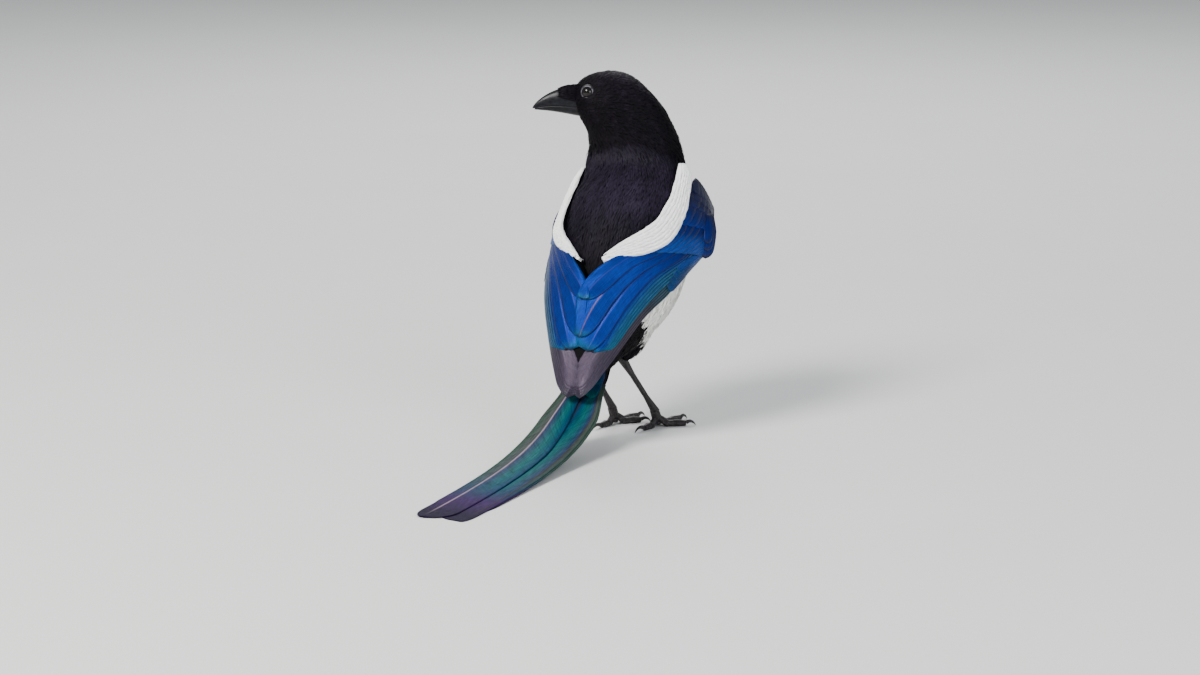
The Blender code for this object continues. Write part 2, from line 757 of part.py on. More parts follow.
def band_frame(share):
    """A point on the shoulder band with its directions along, across and out of the body."""
    centre = along(SHOULDER_BAND, share) * MM
    forward = unit(along(SHOULDER_BAND, share + 0.02) - along(SHOULDER_BAND, share - 0.02))
    body_axis = np.array([0.0, -8.0 + 0.62 * (centre[2] / MM - 115.0), 0.0]) * MM
    radial = centre - np.array([0.0, body_axis[1], centre[2] - 22.0 * MM])
    across = unit(np.cross(radial, forward))
    return centre, forward, across, unit(np.cross(forward, across))


def band_vane(side, start, end, lift, rise, width, thickness, stations, collection):
    """A feather of the band; it rises from its root to its tip, which overlies the next one's root."""
    tops, normals = [], []
    for share in feather_shares(stations):
        place = min(start + (end - start) * share, 1.0)
        centre, _, across, outward = band_frame(place)
        half = along([[w] for w in BAND_HALF_WIDTHS], place)[0] * MM
        half *= width * feather_width(share, 26.0, 13.0)
        height = (lift + rise * share) * MM
        row = [
            centre + half * across + (height - 0.9 * MM) * outward,
            centre + height * outward,
            centre - half * across + (height - 0.9 * MM) * outward,
        ]
        tops.append([to_side(point, side) for point in row])
        normals.append([to_side(outward, side)] * 3)
    sheet = plate(tops, normals, [thickness] * 3)
    return object_from(sheet, "band_vane", None, collection)


def make_shoulder_bands(torso, wings, materials, collection, helpers):
    for side, name, wing in ((1.0, "scapulars_right", wings[0]), (-1.0, "scapulars_left", wings[1])):
        band = band_vane(side, 0.0, 1.0, 1.3, 0.0, 0.85, 3.4 * MM, 8, collection)
        band.name = name
        band.data.materials.append(materials["white_plumage"])
        vanes = []
        for i in range(BAND_VANES):
            start = 0.86 * i / BAND_VANES
            end = start + BAND_VANE_LENGTH
            vanes.append(band_vane(side, start, end, 0.5, 2.0, 1.0, 1.7 * MM, 4, collection))
        fuse(band, vanes)
        carve(band, grown_copy(torso, GAP, helpers))
        carve(band, grown_copy(wing, GAP, helpers))


# Tail

TAIL_RANGE = np.linspace(0.0, 260.0, 261)  # mm behind the root, measured level


def tail_height(level):
    """Height of the tail's middle line, in mm, at a level distance behind its root."""
    return TAIL_REST + (TAIL_ROOT[1] - TAIL_REST) * np.exp(-level / TAIL_SINK)


TAIL_ARC = np.concatenate([[0.0], np.cumsum(np.hypot(np.diff(TAIL_RANGE), np.diff(tail_height(TAIL_RANGE))))])


def tail_point(distance, side, lift):
    """A point of the tail: distance along it, sideways, and height over its middle layer, in mm."""
    level = np.interp(distance, TAIL_ARC, TAIL_RANGE)
    slope = -(TAIL_ROOT[1] - TAIL_REST) / TAIL_SINK * math.exp(-level / TAIL_SINK)
    normal = unit((0.0, slope, 1.0))
    roof = TAIL_ROOF * side**2 * math.exp(-level / 90.0)
    place = np.array([side, TAIL_ROOT[0] - level, tail_height(level)]) + (lift - roof) * normal
    return place * MM, normal


TAIL_LAYER = 0.6  # mm between one pair of tail feathers and the next below it, near the root
TAIL_THICKNESS = 0.9 * MM
TAIL_FLATTENS = (120.0, 200.0)  # mm along the tail, between which its feathers lose most of their arch


def tail_vane(pair, side, collection):
    length, width = TAIL_FEATHERS[pair], TAIL_WIDTHS[pair]
    edge = TAIL_OUTER_EDGES[pair]
    shaft = edge - (0.46 if pair == 0 else 0.3) * width
    tops, normals = [], []
    start = 10.0
    for share in feather_shares(9 if pair < 2 else 7):
        distance = start + (length - start) * share
        full = feather_width(share, length, width)
        closeness = 0.6 + 0.4 * math.exp(-distance / 60.0)
        lift = -closeness * (TAIL_LAYER * pair + (0.35 if side > 0 else 0.0))
        arch = 1.0 - 0.7 * np.interp(distance, TAIL_FLATTENS, (0.0, 1.0))
        row, row_normals = [], []
        for place, drop in ((edge, 0.0), (shaft, -0.2), (edge - width, 0.35)):
            across = shaft + (place - shaft) * full
            point, normal = tail_point(distance, side * across, lift - drop * arch)
            row.append(point)
            row_normals.append(normal)
        tops.append(row)
        normals.append(row_normals)
    return object_from(plate(tops, normals, [TAIL_THICKNESS] * 3, floor=0.0), "tail_vane", None, collection)


def make_tail(body, materials, collection, helpers):
    """Twelve feathers that fan out of a covert-covered root."""
    rings = []
    for distance, half_width, half_depth, lift in (
        (-6.0, 9.0, 6.0, 0.0), (6.0, 12.5, 7.0, -1.0), (20.0, 14.5, 5.0, -2.0), (36.0, 13.0, 2.6, -2.2),
        (48.0, 8.0, 1.4, -2.0),
    ):
        centre, normal = tail_point(max(distance, 0.0), 0.0, lift)
        centre = centre + np.array([0.0, -min(distance, 0.0), -min(distance, 0.0)]) * 0.7 * MM
        ring = []
        for k in range(14):
            angle = 2 * math.pi * k / 14
            ring.append(
                centre
                + half_width * MM * math.cos(angle) * np.array([1.0, 0.0, 0.0])
                + half_depth * MM * math.sin(angle) * normal
            )
        rings.append(ring)
    tail = object_from(loft(rings), "tail", materials["green_tail"], collection)
    vanes = [tail_vane(pair, side, collection) for pair in range(6) for side in (-1.0, 1.0)]
    fuse(tail, vanes)
    for part in body:
        carve(tail, grown_copy(part, GAP, helpers))
    for distance, name in TAIL_CUTS:
        here, _ = tail_point(distance, 0.0, 0.0)
        there, _ = tail_point(distance + 1.0, 0.0, 0.0)
        _, tail = split_by_plane(tail, name, here, there - here, materials["green_tail"], collection)


# Legs and feet

ANKLES = {"right": (23.3, -5.5), "left": (-6.1, -9.5)}  # x, y of the joint over each foot, in mm
HEELS = {"right": (7.5, -28.0), "left": (-20.0, -29.0)}  # x, y of each heel
HIPS = {"right": (14.0, -13.0, 77.0), "left": (-19.0, -14.0, 77.0)}  # inside the belly
THIGH_RADII = (13.0 * MM, 10.5 * MM, 7.4 * MM, 3.4 * MM)
ANKLE_HEIGHT = 9.5
FOOT_TOP = 11.5
TARSUS_RADIUS = 1.9
TOE_RADIUS = 2.3
# Each toe: its direction from the foot's own, to the outer side in degrees, its length, its claw's
TOES = {
    "middle": (0.0, 26.0, 8.0),
    "outer": (40.0, 20.0, 7.0),
    "inner": (-32.0, 19.0, 7.5),
    "hind": (180.0, 14.0, 10.0),
}


def heel_of(name):
    """The heel, as high over the ankle joint as the tarsus is long."""
    ankle = np.array([*ANKLES[name], ANKLE_HEIGHT]) * MM
    x, y = np.array(HEELS[name]) * MM
    rise = math.sqrt(TARSUS_LENGTH**2 - (x - ankle[0]) ** 2 - (y - ankle[1]) ** 2)
    return np.array([x, y, ankle[2] + rise])


def make_thigh(name, body, materials, collection, helpers):
    """The feathered upper leg, from inside the belly to just above the heel."""
    heel = heel_of(name)
    hip = np.array(HIPS[name]) * MM
    outward = np.array([math.copysign(1.5 * MM, hip[0]), 0.0, 0.0])
    points = (hip, hip + 0.5 * (heel - hip) + outward, hip + 0.8 * (heel - hip) + outward, heel)
    shape = limb(points, THIGH_RADII, 9, sides=14)
    thigh = object_from(shape, "thigh_" + name, materials["black_plumage"], collection)
    for part in body:
        carve(thigh, grown_copy(part, GAP, helpers))
    return thigh


def make_tarsus(name, thigh, materials, collection, helpers):
    ankle = np.array([*ANKLES[name], ANKLE_HEIGHT]) * MM
    heel = heel_of(name)
    way = unit(heel - ankle)
    points = (
        ankle - 4.5 * MM * way, ankle + 3.0 * MM * way, ankle + 0.3 * (heel - ankle),
        ankle + 0.7 * (heel - ankle), heel, heel + 4.5 * MM * way,
    )
    radii = [r * MM for r in (3.2, 3.0, TARSUS_RADIUS, TARSUS_RADIUS * 1.05, 3.3, 2.2)]
    shape = limb(points, radii, 11, sides=10)
    cut_plane(shape, (0.0, 0.0, FOOT_TOP * MM + GAP), (0.0, 0.0, -1.0))
    tarsus = object_from(shape, "tarsus_" + name, materials["leg_scales"], collection)
    carve(tarsus, grown_copy(thigh, GAP, helpers))


def toe_way(name, spread_angle):
    outer = 1.0 if name == "right" else -1.0
    angle = FEET_TURN + outer * math.radians(spread_angle)
    return np.array([math.sin(angle), math.cos(angle), 0.0])


def make_foot(name, materials, collection):
    """Four toes joined under the ankle, their pads flat on the ground, with a claw on each."""
    ankle = np.array([*ANKLES[name], 0.0]) * MM
    way = unit(heel_of(name) - np.array([*ANKLES[name], ANKLE_HEIGHT]) * MM)
    low = ankle + np.array([0.0, 0.0, 2.0 * MM])
    high = ankle + ANKLE_HEIGHT * MM * UP + 4.0 * MM * way
    stem = limb((low, ankle + 6.5 * MM * UP, high), [r * MM for r in (2.6, 3.3, 3.1)], 5, sides=10, floor=0.0)
    cut_plane(stem, (0.0, 0.0, FOOT_TOP * MM), UP)
    foot = object_from(stem, "foot_" + name, materials["leg_scales"], collection)
    toes = []
    for toe, (angle, length, claw) in TOES.items():
        forward = toe_way(name, angle)
        rise = TOE_RADIUS * 0.93
        points, radii = [], []
        for share, up, radius in (
            (0.0, 4.6, 1.15), (0.18, 2.9, 1.0), (0.36, 0.1, 1.08), (0.52, 0.1, 0.92), (0.68, 0.05, 1.08),
            (0.84, -0.05, 0.92), (1.0, -0.2, 0.85),
        ):
            points.append(ankle + (length * share * forward + (rise + up) * UP) * MM)
            radii.append(TOE_RADIUS * radius * MM)
        shape = limb(points, radii, 10, sides=8, floor=0.0)
        toes.append(object_from(shape, "toe", None, collection))
        base = ankle + ((length + 0.35) * forward + rise * UP) * MM
        curve = [
            base, base + (0.33 * claw * forward + 1.0 * UP) * MM,
            base + (0.7 * claw * forward + 0.2 * UP) * MM, base + (0.95 * claw * forward - 2.0 * UP) * MM,
        ]
        shape = limb(curve, [1.5 * MM, 1.2 * MM, 0.75 * MM, 0.18 * MM], 6, sides=6, floor=0.0)
        cut_plane(shape, base, -forward)
        object_from(shape, "claw_" + name + "_" + toe, materials["claw_horn"], collection)
    fuse(foot, toes)


def make_legs(body, materials, collection, helpers):
    for name in ("left", "right"):
        thigh = make_thigh(name, body, materials, collection, helpers)
        make_tarsus(name, thigh, materials, collection, helpers)
        make_foot(name, materials, collection)


def centre_on_origin(collection):
    """Moves the whole bird so that the origin is under the middle of its box."""
    corners = np.concatenate([
        np.array([vertex.co for vertex in thing.data.vertices]) for thing in collection.objects
    ])
    low, high = corners.min(0), corners.max(0)
    shift = Vector((-(low[0] + high[0]) / 2, -(low[1] + high[1]) / 2, -low[2]))
    for thing in collection.objects:
        for vertex in thing.data.vertices:
            vertex.co += shift


def main():
    clear_scene()
    collection = new_collection("eurasian_magpie")
    helpers = new_collection("helpers")
    helpers.hide_render = True
    materials = {name: make_material(name) for name in COLOURS}
    body = make_torso(materials, collection)
    _, head = make_head_and_neck(materials, collection)
    make_eyes(head, materials, collection, helpers)
    make_bill(head, materials, collection, helpers)
    wings = make_wings(body, materials, collection, helpers)
    make_shoulder_bands(body[0], wings, materials, collection, helpers)
    make_tail(body, materials, collection, helpers)
    make_legs(body, materials, collection, helpers)
    centre_on_origin(collection)


main()
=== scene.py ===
# %% [markdown]
# # A life-size magpie, dressed over its solid model
# A museum model of a bird has a carved body inside and feathers laid over it. We work the same way: the
# solid parts that were packed earlier are the body, and everything that you see is modelled over them.
# The first step loads those parts. The finished bird may only be a little larger than that.

# %% Load the solid bird
import math

import bmesh
import bpy
import numpy as np
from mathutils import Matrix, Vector
from mathutils.bvhtree import BVHTree


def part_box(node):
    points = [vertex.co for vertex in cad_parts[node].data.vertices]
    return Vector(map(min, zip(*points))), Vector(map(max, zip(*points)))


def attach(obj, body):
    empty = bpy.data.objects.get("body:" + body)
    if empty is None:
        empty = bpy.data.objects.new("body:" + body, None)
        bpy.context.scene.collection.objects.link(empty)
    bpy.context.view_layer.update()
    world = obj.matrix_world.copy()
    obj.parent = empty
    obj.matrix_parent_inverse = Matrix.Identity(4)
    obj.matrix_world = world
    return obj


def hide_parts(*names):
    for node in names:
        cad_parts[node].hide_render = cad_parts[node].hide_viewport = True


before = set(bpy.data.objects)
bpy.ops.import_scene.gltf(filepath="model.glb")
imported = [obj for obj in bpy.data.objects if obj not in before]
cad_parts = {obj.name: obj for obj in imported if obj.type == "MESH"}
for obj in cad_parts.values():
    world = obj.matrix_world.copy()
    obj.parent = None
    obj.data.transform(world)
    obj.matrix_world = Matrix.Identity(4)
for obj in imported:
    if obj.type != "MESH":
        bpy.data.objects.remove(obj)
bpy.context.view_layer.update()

# %% [markdown]
# Feathers are easier to place in millimetres from the bird's own middle: x to its right, y to its front
# and z up from the ground. The body part called torso tells us where that middle is in the scene.

# %% Millimetres of the bird to metres of the scene
MM = 0.001
UP = np.array([0.0, 0.0, 1.0])
torso_low, torso_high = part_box("torso")
BIRD_ORIGIN = np.array([(torso_low[0] + torso_high[0]) / 2, torso_high[1] - 0.0492, 0.0])


def to_scene(points):
    return BIRD_ORIGIN + np.asarray(points, float) * MM


def to_bird(points):
    return (np.asarray(points, float) - BIRD_ORIGIN) / MM


def unit(vectors):
    vectors = np.asarray(vectors, float)
    return vectors / np.maximum(np.linalg.norm(vectors, axis=-1, keepdims=True), 1e-9)


print("the bird's middle lies at", BIRD_ORIGIN.round(4))

# %% [markdown]
# Most lines of a bird are smooth curves through a few measured points. This helper gives the places on
# such a curve at any shares of its length, many at once.

# %% Smooth curves through measured points
def along(points, shares):
    points = np.asarray(points, float)
    if points.ndim == 1:
        points = points[:, None]
    last = len(points) - 1
    place = np.clip(np.asarray(shares, float), 0.0, 1.0) * last
    index = np.minimum(place.astype(int), last - 1)
    t = (place - index)[..., None]
    longer = np.vstack([2 * points[0] - points[1], points, 2 * points[-1] - points[-2]])
    before, start, end, after = (longer[index + step] for step in range(4))
    return (
        (2 * t**3 - 3 * t**2 + 1) * start
        + (t**3 - 2 * t**2 + t) * (end - before) / 2
        + (3 * t**2 - 2 * t**3) * end
        + (t**3 - t**2) * (after - start) / 2
    )


def smooth_step(low, high, values):
    t = np.clip((np.asarray(values, float) - low) / (high - low), 0.0, 1.0)
    return t * t * (3 - 2 * t)


print("halfway on a test curve:", along(((0, 0), (1, 2), (4, 4)), 0.5))

# %% [markdown]
# ## Writing materials
# A material is a net of nodes. In the editor each one is placed and joined by hand. In a script a few
# words of Python keep the net readable: a Wire stands for a socket, and turns +, - and * into Math nodes.

# %% A socket that can be reckoned with
class Wire:
    def __init__(self, finish, socket):
        self.finish, self.socket = finish, socket

    def maths(self, operation, *others):
        values = dict(enumerate((self, *others)))
        return self.finish.node("ShaderNodeMath", {"operation": operation}, values)

    def __add__(self, other):
        return self.maths("ADD", other)

    def __mul__(self, other):
        return self.maths("MULTIPLY", other)

    def __sub__(self, other):
        return self.maths("SUBTRACT", other)

    def __rsub__(self, other):
        return self.finish.node("ShaderNodeMath", {"operation": "SUBTRACT"}, {0: other, 1: self})

    __radd__ = __add__
    __rmul__ = __mul__


sums = [word.strip("_") for word in vars(Wire) if word.endswith(("add__", "sub__", "mul__"))]
print("a wire takes", ", ".join(sums))

# %% [markdown]
# A Finish starts a material and adds nodes to it. Its method node() makes any node from its type, its
# settings and the values of its sockets, and the short methods after it name what most finishes need:
# the place on the object, the colour that a piece carries, noise, a new range, and bumps.

# %% A material with its nodes
class Finish:
    def __init__(self, name, **fixed):
        self.material = bpy.data.materials.new(name)
        self.material.use_nodes = True
        self.tree = self.material.node_tree
        self.shader = self.tree.nodes["Principled BSDF"]
        for socket, value in fixed.items():
            self.shader.inputs[socket.replace("_", " ").title().replace("Ior", "IOR")].default_value = value

    def node(self, kind, settings=None, values=None, output=0):
        made = self.tree.nodes.new(kind)
        for name, setting in (settings or {}).items():
            setattr(made, name, setting)
        for socket, value in (values or {}).items():
            self.join(value, made.inputs[socket])
        return Wire(self, made.outputs[output])

    def join(self, value, socket):
        if isinstance(value, Wire):
            self.tree.links.new(value.socket, socket)
        else:
            socket.default_value = value

    def mix(self, share, first, second, blend="MIX"):
        settings = {"data_type": "RGBA", "blend_type": blend}
        return self.node("ShaderNodeMix", settings, {0: share, 6: first, 7: second}, output=2)

    def place(self):
        """Where a point lies on the object itself, in metres."""
        return self.node("ShaderNodeTexCoord", output=3)

    def tint(self, output=0):
        """The colour that the piece carries, or with output 1 the fourth number beside it."""
        return self.node("ShaderNodeVertexColor", {"layer_name": "Tint"}, output=output)

    def shaded(self, colour, light):
        """A colour made lighter or darker all through."""
        grey = self.node("ShaderNodeCombineColor", None, {"Red": light, "Green": light, "Blue": light})
        return self.mix(1.0, colour, grey, "MULTIPLY")

    def stretched(self, place, scale):
        return self.node("ShaderNodeMapping", None, {"Vector": place, "Scale": scale})

    def noise(self, place, scale, detail=2.0, roughness=0.5):
        values = {"Vector": place, "Scale": scale, "Detail": detail, "Roughness": roughness}
        return self.node("ShaderNodeTexNoise", None, values)

    def range(self, value, low, high, new_low=0.0, new_high=1.0):
        values = {"Value": value, "From Min": low, "From Max": high, "To Min": new_low, "To Max": new_high}
        return self.node("ShaderNodeMapRange", None, values)

    def bump(self, height, strength, distance):
        values = {"Height": height, "Strength": strength, "Distance": distance}
        return self.node("ShaderNodeBump", None, values)

    def surface(self, **links):
        for socket, value in links.items():
            self.join(value, self.shader.inputs[socket.replace("_", " ").title()])
        return self.material


def rgb(red, green, blue):
    return (red, green, blue, 1.0)


print("a finish knows", ", ".join(word for word in vars(Finish) if "_" not in word))

# %% [markdown]
# ## Making objects
# Each shape is built as a bmesh and then becomes an object that rides on the bird's one body. The same
# step hides the solid nodes that the piece stands for.

# %% From a bmesh to a finished piece
def mesh_of(name, shape):
    mesh = bpy.data.meshes.new(name)
    shape.to_mesh(mesh)
    shape.free()
    return mesh


def new_piece(name, shape, material, replaced=(), finish_slot=None, recalculate=False):
    if recalculate:
        bmesh.ops.recalc_face_normals(shape, faces=shape.faces)
    return piece_of_mesh(name, mesh_of(name, shape), material, replaced, finish_slot)


def piece_of_mesh(name, mesh, material, replaced=(), finish_slot=None):
    mesh.shade_smooth()
    mesh.materials.clear()
    mesh.materials.append(material)
    piece = bpy.data.objects.new(name, mesh)
    bpy.context.scene.collection.objects.link(piece)
    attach(piece, "root")
    if replaced:
        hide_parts(*replaced)
    mesh.calc_loop_triangles()
    print(name, "has", len(mesh.loop_triangles), "triangles")
    return piece


def scene_object(name, data):
    """An object in the scene that is no piece of the bird."""
    made = bpy.data.objects.new(name, data)
    bpy.context.scene.collection.objects.link(made)
    return made


# %% [markdown]
# A head, a bill and a wing's body are lofts: closed surfaces through rings of points. Bridging one loop
# to the next would do it too, but a grid that is wrapped round keeps every row in step. Its rows are put
# on the rings, its two side edges are merged into one seam, and its open ends are filled.

# %% A grid wrapped round rings of points
SEAM = 1e-7


def add_loft(shape, rings):
    """Adds a closed surface through rings of points, given in the bird's millimetres."""
    rings = np.asarray(rings, float)
    rows, around = rings.shape[:2]
    closed = np.concatenate([rings, rings[:, :1]], axis=1)
    made = bmesh.ops.create_grid(shape, x_segments=around, y_segments=rows - 1, size=1.0)["verts"]
    for vertex, place in zip(made, to_scene(closed.reshape(-1, 3))):
        vertex.co = place
    start, end = set(made[:around + 1]), set(made[-around - 1:])
    bmesh.ops.remove_doubles(shape, verts=made, dist=SEAM)
    for rim in (start, end):
        corners = [vertex for vertex in rim if vertex.is_valid]
        edges = [e for v in corners for e in v.link_edges if e.is_boundary and e.other_vert(v) in corners]
        if len(corners) > 2:
            bmesh.ops.contextual_create(shape, geom=list(set(edges)))


def cut_ends(shape):
    """Cuts the flat ends of lofts, which have many corners each, into triangles."""
    bmesh.ops.triangulate(shape, faces=[face for face in shape.faces if len(face.verts) > 4])


print("lofts are closed along their seam within", SEAM, "m")

# %% [markdown]
# ## The head
# A magpie's head is a rounded wedge: flat on top, deep behind the eye, narrow at the bill. It is turned
# far to the left here, so it has its own ways forward and sideways. Nine measured sections, from the
# neck up to the crown, say how far it reaches forward, back and to each side.

# %% The head's measurements
HEAD_TURN = math.radians(113)
BILL_WAY = np.array([-math.sin(HEAD_TURN), math.cos(HEAD_TURN), 0.0])
CHEEK_WAY = np.cross(UP, BILL_WAY)
HEAD_SECTIONS = np.array((
    (190.0, 25.8, 35.0, 25.0), (197.0, 28.0, 33.0, 23.2), (203.0, 32.0, 30.0, 21.8),
    (209.0, 35.8, 26.5, 20.8), (215.5, 37.3, 21.5, 20.0), (221.0, 37.2, 17.0, 18.6),
    (227.5, 34.6, 10.5, 15.4), (232.4, 29.5, 4.8, 10.8), (235.9, 22.5, -2.0, 5.8),
))
NECK_AXIS = np.array([-9.3, 22.0, 0.0])


def on_head(forward, side, height):
    """A place on the head: towards the bill, towards the left cheek, and above the ground."""
    forward, side, height = (np.asarray(value, float)[..., None] for value in (forward, side, height))
    return NECK_AXIS + forward * BILL_WAY + side * CHEEK_WAY + height * UP


def head_rings(rows=40, around=56):
    rings = []
    for height, front, back, half in along(HEAD_SECTIONS, np.linspace(0.0, 1.0, rows)):
        angle = np.linspace(0.0, 2 * math.pi, around, endpoint=False)
        side = half * np.sign(np.sin(angle)) * np.abs(np.sin(angle)) ** 0.9
        forward = (front - back) / 2 + (front + back) / 2 * np.cos(angle)
        rings.append(on_head(forward, side, np.full(around, height)))
    middle = np.mean(rings[-1], axis=0)
    for share, rise in ((0.66, 0.75), (0.33, 1.25)):
        rings.append(middle + (rings[rows - 1] - middle) * share + rise * UP)
    return rings


print("the bill points", BILL_WAY.round(2), "and the head has", len(head_rings()), "rings")

# %% [markdown]
# ## The skin
# Under the feathers lies a smooth skin. It could be sculpted by hand, but the solid parts already have
# the body's shape. So copies of them are swelled until the thin gaps between them close, and the head's
# loft is set on top. A voxel remesh melts all of it together, and a little smoothing evens the joins.

# %% Melt the body parts into one skin
FLESH = ("torso", "belly", "rump", "neck", "head", "thigh_left", "thigh_right")
GAP_SWELL = 0.45
SHARPEST = 2.0
VOXEL = 1.4


def swelled_copy(node_name, swell):
    shape = bmesh.new()
    shape.from_mesh(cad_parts[node_name].data)
    bmesh.ops.remove_doubles(shape, verts=shape.verts, dist=2e-6)
    shape.normal_update()
    moved = [(v, v.co + v.normal * min(v.calc_shell_factor(), SHARPEST) * swell * MM) for v in shape.verts]
    for vertex, place in moved:
        vertex.co = place
    return shape


def head_shape():
    shape = bmesh.new()
    add_loft(shape, head_rings())
    bmesh.ops.recalc_face_normals(shape, faces=shape.faces)
    return shape


def body_mesh():
    whole = bmesh.new()
    parts = [swelled_copy(node_name, GAP_SWELL) for node_name in FLESH if node_name != "head"]
    for part in (*parts, head_shape()):
        mesh = mesh_of("copy", part)
        whole.from_mesh(mesh)
        bpy.data.meshes.remove(mesh)
    return mesh_of("skin", whole)


def with_modifiers(mesh, *modifiers):
    """The mesh after some modifiers, each a kind with its settings."""
    carrier = scene_object("carrier", mesh)
    for kind, settings in modifiers:
        modifier = carrier.modifiers.new(kind, kind)
        for name, value in settings.items():
            setattr(modifier, name, value)
    graph = bpy.context.evaluated_depsgraph_get()
    result = bpy.data.meshes.new_from_object(carrier.evaluated_get(graph))
    bpy.data.objects.remove(carrier)
    return result


skin_mesh = with_modifiers(
    body_mesh(),
    ("REMESH", {"mode": "VOXEL", "voxel_size": VOXEL * MM}),
    ("SMOOTH", {"factor": 0.5, "iterations": 12}),
)
print("skin:", len(skin_mesh.vertices), "points")

# %% [markdown]
# The feathers need room between the skin and the solid bird's surface, so the skin is drawn in along its
# normals by the depth of the coat. The face has the shortest feathers and is drawn in least. The crease
# where the head's loft meets the neck would show through the coat, and is smoothed away.

# %% Draw the skin in by the depth of the coat
COAT_DEPTH = 1.5
CREASE_HEIGHTS = (0.158, 0.208)
CREASE_PASSES = 90
FREELY = {"use_axis_x": True, "use_axis_y": True, "use_axis_z": True}


def corners_of(mesh):
    places = np.empty(len(mesh.vertices) * 3)
    mesh.vertices.foreach_get("co", places)
    return places.reshape(-1, 3)


def normals_of(mesh):
    ways = np.empty(len(mesh.vertices) * 3)
    mesh.vertex_normals.foreach_get("vector", ways)
    return ways.reshape(-1, 3)


def face_share(places):
    """How much a place belongs to the short-feathered face, from 0 to 1."""
    near_bill = np.linalg.norm(places - on_head(30.0, 0.0, 215.0), axis=-1)
    return 1.0 - smooth_step(12.0, 34.0, near_bill)


skin_places = corners_of(skin_mesh)
coat_here = COAT_DEPTH * (1.0 - 0.55 * face_share(to_bird(skin_places)))
skin_places = skin_places - normals_of(skin_mesh) * coat_here[:, None] * MM
skin_mesh.vertices.foreach_set("co", skin_places.ravel())
skin_mesh.update()
soft_skin = bmesh.new()
soft_skin.from_mesh(skin_mesh)
crease = [v for v in soft_skin.verts if CREASE_HEIGHTS[0] < v.co.z < CREASE_HEIGHTS[1]]
for _ in range(CREASE_PASSES):
    bmesh.ops.smooth_vert(soft_skin, verts=crease, factor=0.5, **FREELY)
soft_skin.to_mesh(skin_mesh)
soft_skin.free()
print("coat depth from", coat_here.min().round(2), "to", coat_here.max().round(2), "mm")

# %% [markdown]
# The turned head presses the plumage out over the left shoulder. A sculptor would pull it with a soft
# brush, and this does the same: the push is strongest in the middle and fades like a bell curve.

# %% The puff over the left shoulder
PUFF_MIDDLE, PUFF_WAY = np.array((-25.0, 5.0, 176.0)), unit((-0.90, -0.25, 0.30))
PUFF_RADIUS, PUFF_HEIGHT = 9.0, 5.0
skin_places = corners_of(skin_mesh)
from_puff = np.linalg.norm(to_bird(skin_places) - PUFF_MIDDLE, axis=1) / PUFF_RADIUS
skin_places += PUFF_HEIGHT * MM * np.exp(-(from_puff**2))[:, None] * PUFF_WAY
skin_mesh.vertices.foreach_set("co", skin_places.ravel())
skin_mesh = with_modifiers(skin_mesh, ("SMOOTH", {"factor": 0.5, "iterations": 3}))
print("points in the puff:", int((from_puff < 1).sum()))

# %% [markdown]
# ## The colours of the plumage
# A magpie's marks follow lines on its body: a black hood that ends in a collar over a browner back, a
# white belly below one line and in front of another, and black thighs and rump. One function gives the
# colour at any place, so that the skin and every feather over it carry the same marks. The lines come
# first, each a little ragged, as rows of feather tips are.

# %% The lines of the marks
def waviness(places, size, seed):
    """A smooth uneven number from -1 to 1 over space, the same in every run."""
    ways = np.random.default_rng(seed).normal(size=(4, 3)) / size
    return np.mean([np.sin(places @ way + 1.7 * turn) for turn, way in enumerate(ways)], axis=0)


THIGHS = (((14.0, -13.0, 77.0), (7.5, -28.0, 50.1)), ((-19.0, -14.0, 77.0), (-20.0, -29.0, 50.5)))


def thigh_share(places):
    """1 on the black feathers of the thighs, 0 elsewhere."""
    found = np.zeros(len(places))
    for hip, heel in np.array(THIGHS):
        line = heel - hip
        share = np.clip((places - hip) @ line / (line @ line), 0.0, 1.0)
        away = np.linalg.norm(places - hip - share[:, None] * line, axis=1)
        radius = np.interp(share, (0.0, 0.5, 0.8, 1.0), (13.0, 10.5, 7.4, 3.4))
        found = np.maximum(found, smooth_step(2.2, 0.8, away - radius) * smooth_step(0.34, 0.42, share))
    return found


def belly_share(places):
    """1 on the white belly and flanks, 0 elsewhere."""
    _, y, z = places.T
    top = 106.0 + 6.0 * (48.0 - y) / 114.0 - 7.0 * smooth_step(20.0, 46.0, y)
    back = -16.5 - 41.5 * (z - 50.0) / 62.0
    ragged = 1.6 * waviness(places, 2.2, 5)
    inside = smooth_step(-0.8, 0.8, top - z + ragged) * smooth_step(-0.8, 0.8, y - back + ragged)
    return inside * (1.0 - thigh_share(places))


def collar_height(places):
    """Height of the hood's edge: it arches over the nape and falls towards the shoulders."""
    x = places[:, 0]
    return 192.5 - 0.009 * x**2 - 0.007 * np.maximum(x, 0.0) ** 2 + 1.2 * waviness(places, 3.0, 8)


print("the collar's height over the spine and 25 mm beside it:",
      collar_height(np.array(((0.0, -30.0, 190.0), (25.0, -30.0, 190.0)))).round(1))

# %% [markdown]
# The black isn't one black. The hood is the deepest, with a faint purple. The mantle is browner, darkest
# between the wings and palest over the shoulders, and uneven, because each feather has a paler middle.
# From the shoulders up to the collar, where the back turns up to the light, it is darkened as painted
# shade. The crown catches more light, so a painted highlight makes it a little paler, and paler flecks
# of painted sheen lie over the hood.

# %% The colours between the marks
HOOD = np.array((0.0028, 0.0019, 0.0036))
MANTLE = np.array((0.021, 0.0155, 0.030))
BREAST = np.array((0.0036, 0.0030, 0.0052))
WHITE = np.array((0.93, 0.915, 0.87))
VENT = np.array((0.0035, 0.0030, 0.0045))
# The mantle's tone by height: from the shoulders up to the collar it is darkened as painted shade, where
# the back turns up to the light.
MANTLE_HEIGHTS = (120.0, 145.0, 162.0, 174.0, 190.0)
MANTLE_TONE_AND_SHADE = (0.17, 0.32, 0.80, 0.62, 0.40)


